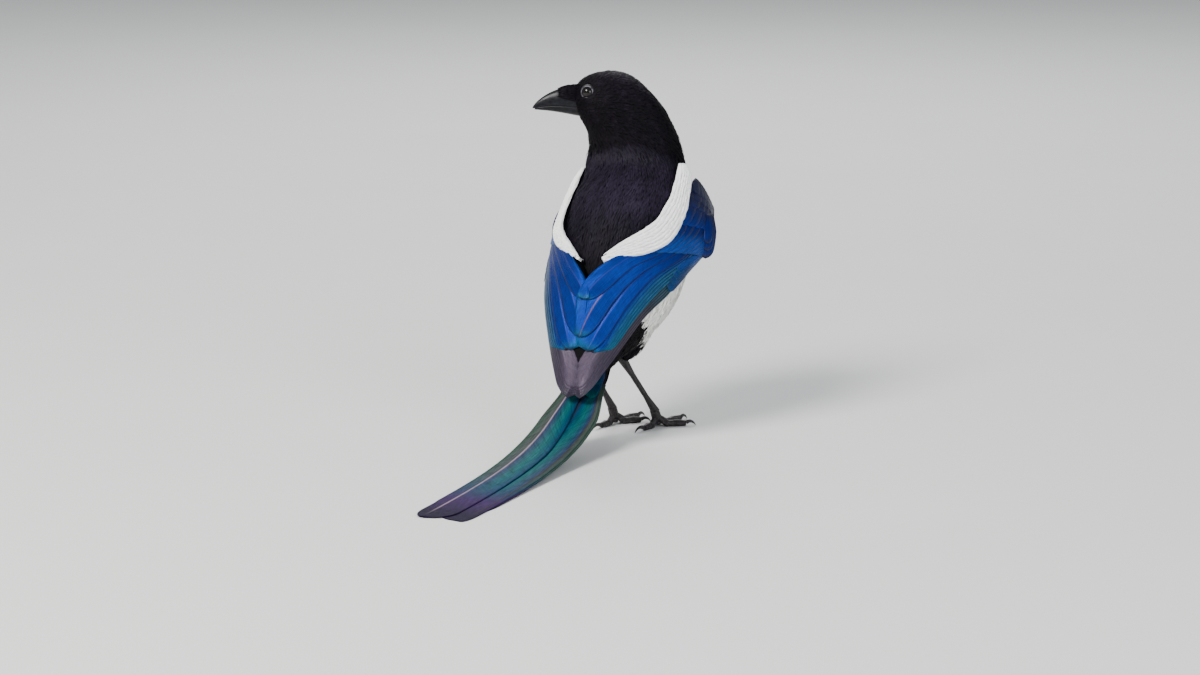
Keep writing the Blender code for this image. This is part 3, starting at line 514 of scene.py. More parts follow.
def plumage_colour(places):
    places = np.asarray(places, float)
    _, y, z = places.T
    hood = smooth_step(-0.7, 0.7, z - collar_height(places))[:, None]
    front = smooth_step(12.0, 30.0, y + 0.25 * (z - 150.0))[:, None]
    low = smooth_step(108.0, 118.0, z)[:, None]
    # the mantle's tone by height, with painted shade towards the collar
    depth = np.interp(z, MANTLE_HEIGHTS, MANTLE_TONE_AND_SHADE)
    patchy_tone_and_shade = (depth * (1.0 + 0.4 * waviness(places, 5.0, 3)))[:, None]
    back = MANTLE * patchy_tone_and_shade * (1 - front) + BREAST * front
    back = VENT * (1 - low) + back * low
    dark = back * (1 - hood) + HOOD * hood
    white = belly_share(places)[:, None]
    # painted highlight: the crown is made paler where it catches more light
    crown = smooth_step(214.0, 234.0, z) * (1.0 - face_share(places))
    # painted sheen: paler flecks scattered over the hood
    sheen_flecks = 1.6 * np.maximum(waviness(places, 1.7, 12), 0.0) * hood[:, 0]
    dark = dark * (1.0 + 2.0 * crown + sheen_flecks)[:, None]
    return dark * (1 - white) + WHITE * white


print("belly:", plumage_colour([[0, 30, 80]]).round(3), "hood:", plumage_colour([[-10, 20, 215]]).round(3))

# %% [markdown]
# Body feathers have hair-fine barbs that show as streaks along each feather. The pattern follows the
# feather's own map, which runs in millimetres across and along it, so the streaks stay on the feather.
# The colour is read from an attribute that each piece carries, because no pattern of nodes could follow
# the marks as closely. The white feathers use the same finish with fainter streaks.

# %% The finish of body feathers
def plume_finish(name, roughness, streak_depth, gloss):
    finish = Finish(name, roughness=roughness, specular_ior_level=gloss)
    barbs = finish.node("ShaderNodeUVMap", {"uv_map": "Barbs"})
    hair = finish.noise(finish.stretched(barbs, (9.0, 0.55, 1.0)), 1.0, 3.0, 0.6)
    soft = finish.noise(finish.place(), 420.0, 2.0, 0.6)
    light = finish.range(hair, 0.25, 0.75, 1.0 - streak_depth, 1.0 + streak_depth) * (0.8 + 0.4 * soft)
    rough = finish.range(soft, 0.3, 0.7, roughness - 0.07, roughness + 0.1)
    relief = finish.bump(hair, 0.35, 0.00012)
    return finish.surface(base_color=finish.shaded(finish.tint(), light), roughness=rough, normal=relief)


dark_plumage = plume_finish("dark_plumage", roughness=0.5, streak_depth=0.4, gloss=0.08)
white_plumage = plume_finish("white_plumage", roughness=0.65, streak_depth=0.05, gloss=0.2)
print("plumage is made with", len(dark_plumage.node_tree.nodes), "nodes")

# %% [markdown]
# Between the feathers the skin shows in slits. It has the feathers' colours, a rough grain and no gloss,
# so that a slit looks like one more feather in shadow.

# %% The skin's own finish and object
def skin_finish():
    finish = Finish("skin_under_feathers", roughness=0.75, specular_ior_level=0.08)
    grain = finish.noise(finish.place(), 900.0, 3.0)
    colour = finish.shaded(finish.tint(), finish.range(grain, 0.3, 0.7, 0.6, 1.0))
    return finish.surface(base_color=colour, normal=finish.bump(grain, 0.5, 0.0003))


def add_tint(mesh, colours):
    layer = mesh.color_attributes.new("Tint", "FLOAT_COLOR", "POINT")
    full = np.ones((len(mesh.vertices), 4))
    full[:, :colours.shape[1]] = colours
    layer.data.foreach_set("color", full.ravel())


add_tint(skin_mesh, plumage_colour(to_bird(corners_of(skin_mesh))))
skin = piece_of_mesh("skin", skin_mesh, skin_finish(), FLESH, "black_plumage")

# %% [markdown]
# ## Wings
# A folded wing is a curved face on which every feather lies. Three curves along it, its inner edge, its
# crest and its outer edge, give any place from two numbers: how far along and how far across.

# %% The face of the folded wing
WING_INNER = (
    (39.5, 18.0, 167.0), (42.0, -5.0, 152.0), (37.5, -31.0, 132.5), (16.5, -61.0, 122.0),
    (-0.5, -72.5, 101.5), (-1.5, -82.0, 69.5), (-2.0, -91.0, 34.5),
)
WING_CREST = (
    (42.0, 29.0, 157.0), (53.0, 14.0, 134.0), (48.5, -17.0, 121.0), (36.0, -46.0, 111.5),
    (25.0, -66.0, 93.0), (14.5, -81.0, 66.0), (4.0, -92.5, 35.5),
)
WING_OUTER = (
    (44.0, 42.0, 141.0), (50.0, 14.0, 120.0), (49.0, -15.0, 109.0), (45.0, -36.0, 98.0),
    (35.5, -57.5, 84.0), (23.5, -76.5, 61.0), (9.5, -94.5, 36.5),
)


def wing_point(along_wing, across_wing):
    s, t = np.broadcast_arrays(np.asarray(along_wing, float), np.asarray(across_wing, float))
    inner, crest, outer = along(WING_INNER, s), along(WING_CREST, s), along(WING_OUTER, s)
    t = t[..., None]
    return (1 - t) * (1 - 2 * t) * inner + 4 * t * (1 - t) * crest + t * (2 * t - 1) * outer


def wing_normal(s, t):
    s, t = np.broadcast_arrays(np.asarray(s, float), np.asarray(t, float))
    lengthwise = wing_point(s + 0.01, t) - wing_point(s - 0.01, t)
    across = wing_point(s, t + 0.05) - wing_point(s, t - 0.05)
    return unit(np.cross(lengthwise, across))


def wing_span(s):
    inner, crest, outer = wing_point(s, 0.0), wing_point(s, 0.5), wing_point(s, 1.0)
    return np.linalg.norm(crest - inner, axis=-1) + np.linalg.norm(outer - crest, axis=-1)


def to_side(places, side):
    return np.asarray(places, float) * (side, 1.0, 1.0)


print("a wing is", wing_span(0.4).round(1), "mm across at 0.4 of its length")

# %% [markdown]
# A feather is a thin sheet: slim at the root, broad, and round at the tip. Its outline is a formula of
# the share of its length, and its rows lie closer together towards the tip, where the outline turns.

# %% The outline of a feather
def feather_width(share, length, width, roundness=0.62):
    round_from = 1 - roundness * width / length
    body = 0.62 + 0.38 * np.minimum(share / 0.35, 1.0)
    turn = np.clip((share - round_from) / (1 - round_from), 0.0, 1.0)
    return body * np.sqrt(np.maximum(1 - turn**2.2, 0.004))


def feather_shares(stations):
    even = np.linspace(0.0, 1.0, stations)
    return 0.4 * even + 0.6 * (1 - (1 - even) ** 2.2)


def feather_grid(rows, columns):
    """Shares from root to tip as a column, and from the outer edge to the inner one as a row."""
    return feather_shares(rows)[:, None], np.linspace(0.5, -0.5, columns)[None, :]


test_widths = feather_width(np.array((0.5, 0.95)), length=60.0, width=12.0)
print("a feather's width halfway and near its tip:", test_widths.round(2))

# %% [markdown]
# Each feather starts as a flat grid of faces, and the grid's points are put where the feather lies. One
# object per feather would make hundreds of objects, so the sheets of a wing or tail share one bmesh, and
# one Solidify modifier gives them all their thickness.

# %% Many sheets in one piece
class Sheets:
    """Gathers feathers as grids in one bmesh, with their maps and colours."""

    def __init__(self):
        self.shape = bmesh.new()
        self.barbs = self.shape.loops.layers.uv.new("Barbs")
        self.tint = self.shape.verts.layers.float_color.new("Tint")
        self.number = self.shape.faces.layers.int.new("feather")
        self.sizes = []

    def add(self, places, colours, width, length, shaft=0.35):
        rows, columns = places.shape[:2]
        have = len(self.shape.faces)
        grid = {"x_segments": columns - 1, "y_segments": rows - 1, "size": 1.0, "calc_uvs": True}
        made = bmesh.ops.create_grid(self.shape, **grid)["verts"]
        for vertex, place, colour in zip(made, to_scene(places.reshape(-1, 3)), colours.reshape(-1, 4)):
            vertex.co = place
            vertex[self.tint] = colour
        self.shape.faces.ensure_lookup_table()
        for face in self.shape.faces[have:]:
            face[self.number] = len(self.sizes)
        self.sizes.append((width, length, shaft))

    def finish(self, name, material, thickness, replaced=(), finish_slot=None, flip=False):
        if flip:
            bmesh.ops.reverse_faces(self.shape, faces=self.shape.faces)
        solidify = {"thickness": thickness * MM, "offset": -1.0}
        mesh = with_modifiers(mesh_of(name, self.shape), ("SOLIDIFY", solidify))
        set_sheet_maps(mesh, np.array(self.sizes))
        print(name, "has", len(self.sizes), "feathers")
        return piece_of_mesh(name, mesh, material, replaced, finish_slot)


print("sheets know how to", ", ".join(word for word in vars(Sheets) if "_" not in word))

# %% [markdown]
# Streaks need a map in real millimetres. A bake needs another one, on which no two patches overlap. Both
# are worked out at once for all feathers of a piece, because each face knows its feather's number.

# %% Maps for the sheets
BORDER = 0.04


def set_sheet_maps(mesh, sizes):
    """Scales each feather's map to millimetres, and gives each side of it a patch to bake on."""
    count = len(mesh.polygons)
    number = np.empty(count, dtype=int)
    mesh.attributes["feather"].data.foreach_get("value", number)
    totals = np.empty(count, dtype=int)
    mesh.polygons.foreach_get("loop_total", totals)
    owner = np.repeat(np.arange(count), totals)
    feather = number[owner]
    flat = np.empty(len(mesh.loops) * 2)
    mesh.uv_layers["Barbs"].data.foreach_get("uv", flat)
    flat = flat.reshape(-1, 2)
    tops = count_of_tops(mesh, count)
    side = np.where(owner < tops, 0, np.where(owner < 2 * tops, 1, 2))
    cells = math.ceil(math.sqrt(len(sizes) * 2))
    cell = feather * 2 + np.minimum(side, 1)
    baked = (np.stack([cell % cells, cell // cells], axis=1) + BORDER + (1 - 2 * BORDER) * flat) / cells
    mesh.uv_layers.new(name="OFBake").data.foreach_set("uv", baked.astype(np.float32).ravel())
    width, length, shaft = sizes[feather].T
    real = np.stack([(flat[:, 0] - shaft) * width, flat[:, 1] * length + feather * 11.3], axis=1)
    mesh.uv_layers["Barbs"].data.foreach_set("uv", real.astype(np.float32).ravel())


def count_of_tops(mesh, count):
    """Solidify writes the tops first, then as many undersides, then the rims."""
    edges = len(mesh.vertices) // 2
    return next(face.index for face in mesh.polygons if min(face.vertices) >= edges)


print("each feather's patch keeps a border of", BORDER, "of its width")

# %% [markdown]
# Wing feathers shine blue where light strikes their barbs, and the colour runs from blue through teal to
# dull purple over a single feather. The finish adds fine slanting barbs, which meet at the shaft like
# the ribs of a leaf. Barbs hold together in locks, and between two locks a dark split may open. How
# metallic a place shines comes from the fourth number beside its colour.

# %% The finish of wing and tail feathers
def vane_finish(name, roughness, barb_step=0.42, lock_depth=0.15, metal=0.6, gloss=0.2, splits=0.0):
    finish = Finish(name, roughness=roughness, specular_ior_level=gloss)
    barbs = finish.node("ShaderNodeUVMap", {"uv_map": "Barbs"})
    across, lengthwise = (
        finish.node("ShaderNodeSeparateXYZ", None, {"Vector": barbs}, output=axis) for axis in (0, 1))
    uneven = finish.noise(finish.place(), 260.0, 2.0)
    from_shaft = across.maths("ABSOLUTE")
    slant = lengthwise - from_shaft * 1.2
    ribs = ((slant + uneven * 0.8) * (math.tau / barb_step)).maths("SINE")
    lock_place = {"X": slant * 0.6 + uneven * 0.4, "Y": from_shaft * 0.08}
    lock_noise = finish.noise(finish.node("ShaderNodeCombineXYZ", None, lock_place), 1.0, 3.0, 0.6)
    open_splits = finish.range(lock_noise, 0.29, 0.33, 1.0 - splits, 1.0)
    locks = finish.range(lock_noise, 0.35, 0.6, 1.0 - lock_depth, 1.05) * open_splits
    bands = finish.noise(finish.stretched(barbs, (2.2, 0.10, 1.0)), 1.0, 3.0, 0.55)
    light = finish.range(bands, 0.3, 0.7, 0.66, 1.3) * (1.0 + 0.14 * ribs) * locks
    return finish.surface(
        base_color=finish.shaded(finish.tint(), light),
        metallic=finish.tint(output=1) * metal,
        roughness=finish.range(bands, 0.3, 0.7, roughness + 0.08, roughness - 0.06),
        normal=finish.bump(ribs * 0.5 + bands, 0.35, 0.00012),
    )


blue_vanes = vane_finish("blue_vanes", 0.36)
print("blue vanes are made with", len(blue_vanes.node_tree.nodes), "nodes")

# %% [markdown]
# A wing feather lies along the wing's face from one share of its length to another, with its outer edge
# at a share across. Its inner side dips under its neighbour, and its shaft stands up as a low ridge. The
# sheet could be bent by hand, but then all 62 feathers of a wing would have to be bent again whenever
# the wing's curves change.

# %% Where each wing feather lies
SHAFT_RIDGE = 0.30
CAMBER = 1.1


def wing_sheet(sheets, side, start, end, edge, width, inwards=0.0, lift=0.0, rows=20, columns=9,
               tilt=0.085, colour=None, roundness=0.62, shaft_at=0.35, limit=-0.03, fine_shaft=False):
    """Lays a feather from start to end of the wing's length, with its outer edge at a share across."""
    length = float(np.linalg.norm(wing_point(end, edge) - wing_point(start, edge)))
    share = feather_shares(rows)[:, None]
    offset = np.linspace(shaft_at, shaft_at - 1.0, columns)
    if fine_shaft:
        offset = np.sort(np.append(offset, (-0.015, 0.0, 0.015)))[::-1]
    offset = offset[None, :]
    s = start + (end - start) * share
    span = wing_span(s)
    full = feather_width(share, length, width, roundness)
    shaft = edge - inwards * share**2 - shaft_at * width / span
    t = np.maximum(shaft + offset * full * width / span, limit)
    s, t = np.broadcast_arrays(s, t)
    drop = tilt * (shaft_at - offset * full) * width
    ridge = SHAFT_RIDGE * np.exp(-(offset / 0.05) ** 2) * (1 - 0.6 * share)
    camber = -CAMBER * (offset * full) ** 2 * (width / 20.0)
    height = lift - drop + ridge + camber
    places = wing_point(s, t) + height[..., None] * wing_normal(s, t)
    tints = colour(np.broadcast_to(share, s.shape), np.broadcast_to(offset, s.shape), s, t)
    sheets.add(to_side(places, side), tints, width, length)


def blended(stops, values):
    """Colours between named stops, a list of places and colours with their shine."""
    places = np.array([place for place, _ in stops])
    colours = np.array([colour for _, colour in stops])
    return np.stack([np.interp(values, places, colours[:, band]) for band in range(4)], axis=-1)


print("the wing's face runs from", wing_point(0.0, 0.5).round(1), "to", wing_point(1.0, 0.5).round(1))

# %% [markdown]
# The colours of the wing go by kind of feather, each colour with its shine as a fourth number. Each
# recipe below gets a feather's own shares, from root to tip and from inner to outer edge, and the place
# on the wing. Painting them by hand would look as good, but could not be repeated on the other wing.

# %% Colours of the wing feathers
BLUE = (0.0, 0.021, 0.20, 1.0)
COVERT_BLUE = (0.0, 0.055, 0.33, 1.0)
DEEP_BLUE = (0.0, 0.012, 0.14, 1.0)
TEAL = (0.0, 0.085, 0.17, 0.9)
DARK = (0.012, 0.013, 0.022, 0.4)
TIP_PURPLE = (0.060, 0.043, 0.072, 0.3)
TIP_EDGE = (0.020, 0.018, 0.030, 0.3)
SHAFT_PINK = (0.16, 0.085, 0.075, 0.1)
CYAN_EDGE = (0.020, 0.150, 0.220, 0.7)
DARK_BLUE = (0.002, 0.016, 0.075, 0.8)
WRIST = (0.008, 0.009, 0.032, 0.6)


def mixed(first, second, share):
    share = np.asarray(share, float)[..., None]
    return np.asarray(first) * (1 - share) + np.asarray(second) * share


print("halfway from blue to teal:", mixed(BLUE, TEAL, 0.5).round(3))

# %% [markdown]
# Tertials are blue with a teal end, a dark rim and a fine shaft line, and on the right wing the middle
# one shows a pinkish shaft. Of the secondaries one sees little more than their bright outer edges.

# %% Tertials and secondaries
def tertial_colour(share, offset, s, t, shaft=0.15):
    colour = blended(((0.0, DEEP_BLUE), (0.3, BLUE), (0.94, BLUE), (1.0, TEAL)), share)
    colour = mixed(colour, TEAL, 0.4 * smooth_step(-0.15, -0.5, offset) * smooth_step(0.35, 0.8, share))
    dark_rim = 0.8 * smooth_step(0.31, 0.35, offset) + 0.6 * smooth_step(0.97, 1.0, share)
    colour = mixed(colour, DARK, dark_rim)
    line = np.exp(-(offset / 0.010) ** 2) * smooth_step(0.1, 0.3, share)
    return mixed(colour, SHAFT_PINK, line * shaft)


def marked_tertial_colour(share, offset, s, t):
    """The middle tertial shows its pinkish shaft."""
    return tertial_colour(share, offset, s, t, shaft=0.85)


def secondary_colour(share, offset, s, t):
    colour = blended(((0.0, DEEP_BLUE), (0.4, BLUE), (0.95, BLUE), (1.0, TEAL)), share)
    outer = smooth_step(0.52, 0.70, t)
    colour = mixed(colour, DARK, smooth_step(0.10, -0.02, offset))
    colour = mixed(colour, DARK_BLUE, 0.85 * outer * smooth_step(0.325, 0.295, offset))
    return mixed(colour, CYAN_EDGE, 0.9 * outer * smooth_step(0.325, 0.345, offset))


print("colour and shine in a tertial's middle:", tertial_colour(0.5, 0.1, 0.5, 0.3).round(3))

# %% [markdown]
# The primaries are nearly black. Where they fold over one another towards the tip, they have a dull
# purple bloom and a paler rim. The coverts are the brightest blue of the wing, and fade to dark blue
# at the wrist.

# %% Primaries and coverts
PRIMARY_STOPS = (
    (0.0, DEEP_BLUE), (0.1, DEEP_BLUE), (0.2, DARK), (0.45, DARK), (0.75, TIP_EDGE), (1.0, TIP_EDGE))
COVERT_STOPS = ((0.0, DEEP_BLUE), (0.35, DEEP_BLUE), (0.6, COVERT_BLUE), (0.93, COVERT_BLUE), (1.0, TEAL))


def primary_colour(share, offset, s, t):
    colour = blended(PRIMARY_STOPS, share)
    fold = smooth_step(0.55, 0.70, s) * smooth_step(0.62, 0.42, t)
    colour = mixed(colour, TIP_PURPLE, fold)
    colour = mixed(colour, TIP_EDGE, 0.7 * fold * smooth_step(0.955, 0.998, s))
    inner_tip = smooth_step(0.045, 0.015, t) * smooth_step(0.84, 0.87, s) * smooth_step(0.99, 0.96, s)
    colour = mixed(colour, DARK, inner_tip)
    rim = smooth_step(0.28, 0.33, offset) * smooth_step(0.35, 0.55, t)
    colour = mixed(colour, TIP_PURPLE, rim * smooth_step(0.55, 0.7, s))
    return mixed(colour, CYAN_EDGE, 0.6 * rim * smooth_step(0.66, 0.5, s))


def covert_colour(share, offset, s, t):
    colour = blended(COVERT_STOPS, share)
    colour = mixed(colour, DARK_BLUE, 0.8 * smooth_step(0.60, 0.82, t) * smooth_step(0.24, 0.36, s))
    colour = mixed(colour, TEAL, 0.15 * smooth_step(0.5, 0.95, t))
    dark_edges = 0.45 * smooth_step(0.31, 0.35, offset) + 0.3 * smooth_step(-0.2, -0.5, offset)
    return mixed(colour, DARK, dark_edges)


def small_covert_colour(share, offset, s, t):
    colour = blended(((0.0, DARK), (0.5, DEEP_BLUE), (1.0, BLUE)), share)
    return mixed(colour, WRIST, 0.9 * smooth_step(0.24, 0.10, s))


print("colour and shine in a covert's middle:", covert_colour(0.5, 0.0, 0.3, 0.4).round(3))

# %% [markdown]
# The feathers are laid from the wing's outer edge inwards and from its tip forwards, so that the inner
# ones and the small ones come last and lie on top: six primaries, six secondaries, three broad tertials,
# the coverts of both rows, and small scale-like feathers over the wrist.

# %% Lay the feathers of both wings
PRIMARY_ENDS = (0.970, 0.979, 0.987, 0.994, 1.0, 0.985)
TERTIALS = ((2, 0.848, 0.04), (1, 0.812, 0.12), (0, 0.69, 0.05))


def lay_wing(side):
    sheets = Sheets()

    def lay(start, end, edge, width, lift, colour, **more):
        wing_sheet(sheets, side, start, end, edge, width, lift=lift, colour=colour, **more)

    # Primaries, the long feathers of the wing's tip
    for i, end in enumerate(PRIMARY_ENDS):
        edge, inwards = 0.80 + 0.04 * i, 0.24 - 0.045 * i
        lay(0.28, end, edge, 13.0, -0.3, primary_colour, inwards=inwards, rows=28, limit=0.02)
    # Secondaries, of which mostly the blue edges show
    for i in range(6):
        edge = 0.56 + (0.05 if side > 0 else 0.075) * i
        lay(0.33 - 0.024 * i, 0.848 - 0.004 * i, edge, 15.0, 0.0, secondary_colour, rows=26)
    # Tertials, broad and blue, over the secondaries
    for i, end, inwards in TERTIALS:
        recipe = marked_tertial_colour if i == 1 and side > 0 else tertial_colour
        limit = -0.055 if side > 0 else -0.03 * (i == 0)
        edge, lift = 0.25 + 0.16 * i, 0.4 + 0.25 * (side > 0)
        lay(0.28, end, edge, 23.0, lift, recipe, inwards=inwards, rows=26, columns=17, roundness=0.9,
            limit=limit, fine_shaft=True)
    # Coverts of the primaries, and then the greater, the lesser and the smallest coverts
    for i in range(4):
        lay(0.14, 0.50 - 0.03 * i, 1.0 - 0.045 * i, 9.0, 0.7, covert_colour)
    for i in range(10):
        edge = 0.16 + 0.086 * i
        lay(0.22 - 0.15 * edge, 0.45 - 0.21 * edge, edge, 12.5, 1.0, covert_colour, rows=14, columns=7)
    for i in range(9):
        edge = 0.14 + 0.1 * i
        start, end = 0.10 - 0.08 * edge, 0.27 - 0.15 * edge
        lay(start, end, edge, 10.0, 1.5, small_covert_colour, rows=10, columns=7)
    for row in range(3):
        for i in range(8):
            edge = 0.18 + 0.11 * i + 0.04 * (row % 2)
            start, lift = 0.05 - 0.05 * edge - 0.035 * row, 1.8 + 0.25 * row
            lay(max(start, 0.0), start + 0.11, edge, 8.0, lift, small_covert_colour, rows=8, columns=5)
    return sheets


for side, name in ((1.0, "wing_right"), (-1.0, "wing_left")):
    lay_wing(side).finish(name + "_feathers", blue_vanes, 0.3, (name,), "blue_wing", flip=side > 0)

# %% [markdown]
# Under its feathers a wing has a body, a smooth slab of muscle and down. It follows the same face a
# little lower, thick in its middle and thin towards its outer edge and its tip. It is nearly hidden, so
# it gets a plain dark grain.

# %% The wings' bodies in one dark piece
def add_wing_body(shape, side):
    rings = []
    for s in np.linspace(0.0, 0.96, 36):
        reach = 1.0 - 0.7 * max((s - 0.78) / 0.18, 0.0) ** 1.4
        front = max(1.0 - s / 0.2, 0.0) ** 2
        rise = math.sin(math.pi * min(0.12 + 1.06 * s / 0.96, 1.0))
        depth = 0.8 + 7.5 * max(rise, 0.0) ** 0.8
        t = reach * np.linspace(0.0, 1.0, 15)
        depth = depth * (1.0 - 0.6 * smooth_step(0.65, 1.0, t))[:, None]
        t += (0.5 - t) * 0.6 * front
        out = wing_normal(s, t)
        top = wing_point(s, t) - (1.3 + 2.5 * front) * out
        under = top - depth * out
        rings.append(to_side(np.concatenate([top, under[::-1]]), side))
    add_loft(shape, rings)


def dark_horny_finish(name, colour, roughness, gloss=0.3):
    finish = Finish(name, roughness=roughness, specular_ior_level=gloss)
    grain = finish.noise(finish.place(), 700.0, 4.0)
    dark = rgb(*[0.5 * band for band in colour])
    tone = finish.mix(finish.range(grain, 0.3, 0.7), dark, rgb(*colour))
    return finish.surface(base_color=tone, normal=finish.bump(grain, 0.4, 0.0002))


wing_cores = bmesh.new()
for side in (1.0, -1.0):
    add_wing_body(wing_cores, side)
cut_ends(wing_cores)
under_wing = dark_horny_finish("under_wing_down", (0.004, 0.0035, 0.005), 0.7, 0.06)
wing_bodies = new_piece("wing_bodies", wing_cores, under_wing, (), "blue_wing", recalculate=True)

# %% [markdown]
# The small stiff feathers of the thumb, called the alula, hang free of the wing's outer edge. Three of
# them lie on one another along a short curve. They don't follow the wing's face, so each wing's alula
# gets its own way out and its own way across.

# %% The alula
ALULA = ((52.6, 17.0, 144.0), (55.6, 10.5, 134.0), (56.2, 6.0, 124.0), (55.0, 2.5, 116.0))
ALULA_LENGTH = 28.0
ALULA_LAYERS = ((0.0, 10.5, 1.0), (-1.2, 9.0, 0.8), (-2.2, 7.5, 0.62))
ALULA_FACES = {
    1.0: (unit((0.87, -0.50, 0.0)), unit((-0.50, -0.87, 0.15))),
    -1.0: (unit((0.93, 0.36, 0.0)), unit((0.36, -0.93, 0.15))),
}


def alula_colour(share, offset):
    colour = blended(((0.0, WRIST), (0.35, DEEP_BLUE), (0.8, DEEP_BLUE), (1.0, DARK)), share)
    return mixed(colour, DARK, 0.7 * smooth_step(0.36, 0.5, np.abs(offset)))


alula = Sheets()
for side in (1.0, -1.0):
    out, across = ALULA_FACES[side]
    for layer, (shift, width, reach) in enumerate(ALULA_LAYERS):
        share, offset = feather_grid(14, 7)
        centre = along(ALULA, share[:, 0] * reach)[:, None, :]
        half = feather_width(share, ALULA_LENGTH * reach, width) * width
        bulge = 0.3 * np.exp(-(offset / 0.08) ** 2) - 1.4 * offset**2 + 0.35 * layer
        places = centre + (half * offset + shift)[..., None] * -across + bulge[..., None] * out
        grids = np.broadcast_arrays(share, offset)
        held = places - (2.2 * (side < 0), 0.0, 0.0)
        alula.add(to_side(held, side), alula_colour(*grids), width, ALULA_LENGTH * reach)
alula.finish("alula_feathers", blue_vanes, 0.35)

# %% [markdown]
# ## Tail
# Twelve long feathers lie almost flat on each other, the middle pair on top and longest. Their line
# sinks from the rump to the ground and levels out there, as on a museum piece that stands on a table.

# %% The line and layers of the tail
TAIL_ROOT = (-65.0, 47.5)
TAIL_SINK = 50.0
TAIL_REST = 0.5
TAIL_RANGE = np.linspace(-20.0, 260.0, 561)


def tail_height(level):
    return TAIL_REST + (TAIL_ROOT[1] - TAIL_REST) * np.exp(-level / TAIL_SINK)


steps = np.hypot(np.diff(TAIL_RANGE), np.diff(tail_height(TAIL_RANGE)))
TAIL_ARC = np.concatenate([[0.0], np.cumsum(steps)])
TAIL_ARC -= np.interp(0.0, TAIL_RANGE, TAIL_ARC)


def tail_place(distance, side, lift):
    """A place on the tail: along it, sideways, and above its middle layer."""
    distance, side, lift = np.broadcast_arrays(distance, side, lift)
    level = np.interp(distance, TAIL_ARC, TAIL_RANGE)
    slope = -(TAIL_ROOT[1] - TAIL_REST) / TAIL_SINK * np.exp(-level / TAIL_SINK)
    normal = unit(np.stack([np.zeros_like(slope), slope, np.ones_like(slope)], axis=-1))
    roof = 0.005 * side**2 * np.exp(-level / 90.0)
    place = np.stack([side, TAIL_ROOT[0] - level, tail_height(level)], axis=-1)
    return place + (lift - roof)[..., None] * normal


print("the tail's line is", int(TAIL_ARC[-1]), "mm long")

# %% [markdown]
# The outer web of a tail feather is greyer than the inner one, which shines teal between a slate shaft
# side and a dark edge. Towards the end the colour turns violet and then almost black. Only the uppermost
# feather has a pale shaft.

# %% Lengths and colours of the tail feathers
TAIL_FEATHERS = (242.0, 212.0, 184.0, 162.0, 145.0, 128.0)
TAIL_WIDTHS = (25.0, 23.0, 21.0, 20.0, 19.0, 18.0)
TAIL_EDGES = (19.0, 20.2, 20.0, 19.0, 17.5, 16.0)
TAIL_TEAL = (0.001, 0.095, 0.095, 0.9)
TAIL_GREEN = (0.010, 0.075, 0.040, 0.8)
TAIL_BLUE = (0.003, 0.036, 0.085, 0.9)
TAIL_SLATE = (0.022, 0.034, 0.085, 0.8)
TAIL_GREY = (0.050, 0.062, 0.058, 0.2)
TAIL_VIOLET = (0.032, 0.010, 0.070, 0.8)
TAIL_END = (0.010, 0.006, 0.024, 0.6)
PALE_SHAFT = (0.42, 0.32, 0.38, 0.0)
DARK_SHAFT = (0.045, 0.042, 0.025, 0.1)
INNER_WEB = ((-0.75, DARK), (-0.62, TAIL_BLUE), (-0.35, TAIL_TEAL), (-0.05, TAIL_SLATE), (0.0, TAIL_SLATE))
TAIL_STOPS = ((0.0, TAIL_BLUE), (0.66, TAIL_BLUE), (0.80, TAIL_VIOLET), (0.94, TAIL_END), (1.0, TAIL_END))


def tail_colour(share, offset, outer, shaft_colour):
    inner_side = blended(INNER_WEB, offset)
    outer_side = mixed(TAIL_GREY, TAIL_BLUE, 0.4 * smooth_step(0.2, 0.9, share))
    outer_side = mixed(outer_side, TAIL_GREEN, 0.6 * smooth_step(0.6, 1.0, offset / outer))
    colour = mixed(inner_side, outer_side, smooth_step(-0.01, 0.01, offset))
    colour = mixed(colour, blended(TAIL_STOPS, share), smooth_step(0.50, 0.80, share))
    return mixed(colour, shaft_colour, np.exp(-(offset / 0.012) ** 2) * smooth_step(1.0, 0.85, share))


print("tail feathers from the middle outwards, mm:", TAIL_FEATHERS)

# %% [markdown]
# The outermost pair is laid first and the middle pair last, and of each pair the left feather lies on
# top. A feather gets more columns beside its shaft, so that the ridge and the shaft's line stay sharp.

# %% Lay the tail feathers
tail = Sheets()
for pair in range(5, -1, -1):
    for side in (1.0, -1.0):
        length, width, edge = TAIL_FEATHERS[pair], TAIL_WIDTHS[pair], TAIL_EDGES[pair]
        on_top = pair == 0 and side < 0
        outer = 0.32 if on_top else 0.13
        share = feather_shares(48)[:, None]
        web = np.linspace(-0.05, outer - 1, 10)
        offset = np.concatenate([np.linspace(outer, 0.04, 5), (0.012, 0.0, -0.012), web])[None, :]
        distance = 8.0 + (length - 8.0) * share
        narrow = 0.72 + 0.28 * smooth_step(8.0, 45.0, distance)
        full = feather_width(share, length, width, 0.75)
        across = narrow * (edge - outer * width + offset * width * full)
        closeness = 0.6 + 0.4 * np.exp(-distance / 60.0)
        lift = -closeness * (0.6 * pair + (0.35 if side > 0 else 0.0))
        ridge = 0.4 * np.exp(-(offset / 0.02) ** 2) * (1 - 0.7 * share)
        lift = lift + ridge - 0.25 * np.abs(offset) - 0.15 * smooth_step(120.0, 220.0, distance)
        grids = np.broadcast_arrays(share, offset)
        tints = tail_colour(*grids, outer, PALE_SHAFT if on_top else DARK_SHAFT)
        tail.add(to_side(tail_place(distance, across, lift), side), tints, width, length, outer)
print("long tail feathers laid:", len(tail.sizes))

# %% [markdown]
# Shorter feathers, the tail coverts, cover the place where the long ones leave the body, black ones from
# below and teal ones from above. Each is given by where it starts, its length, its middle and its width.

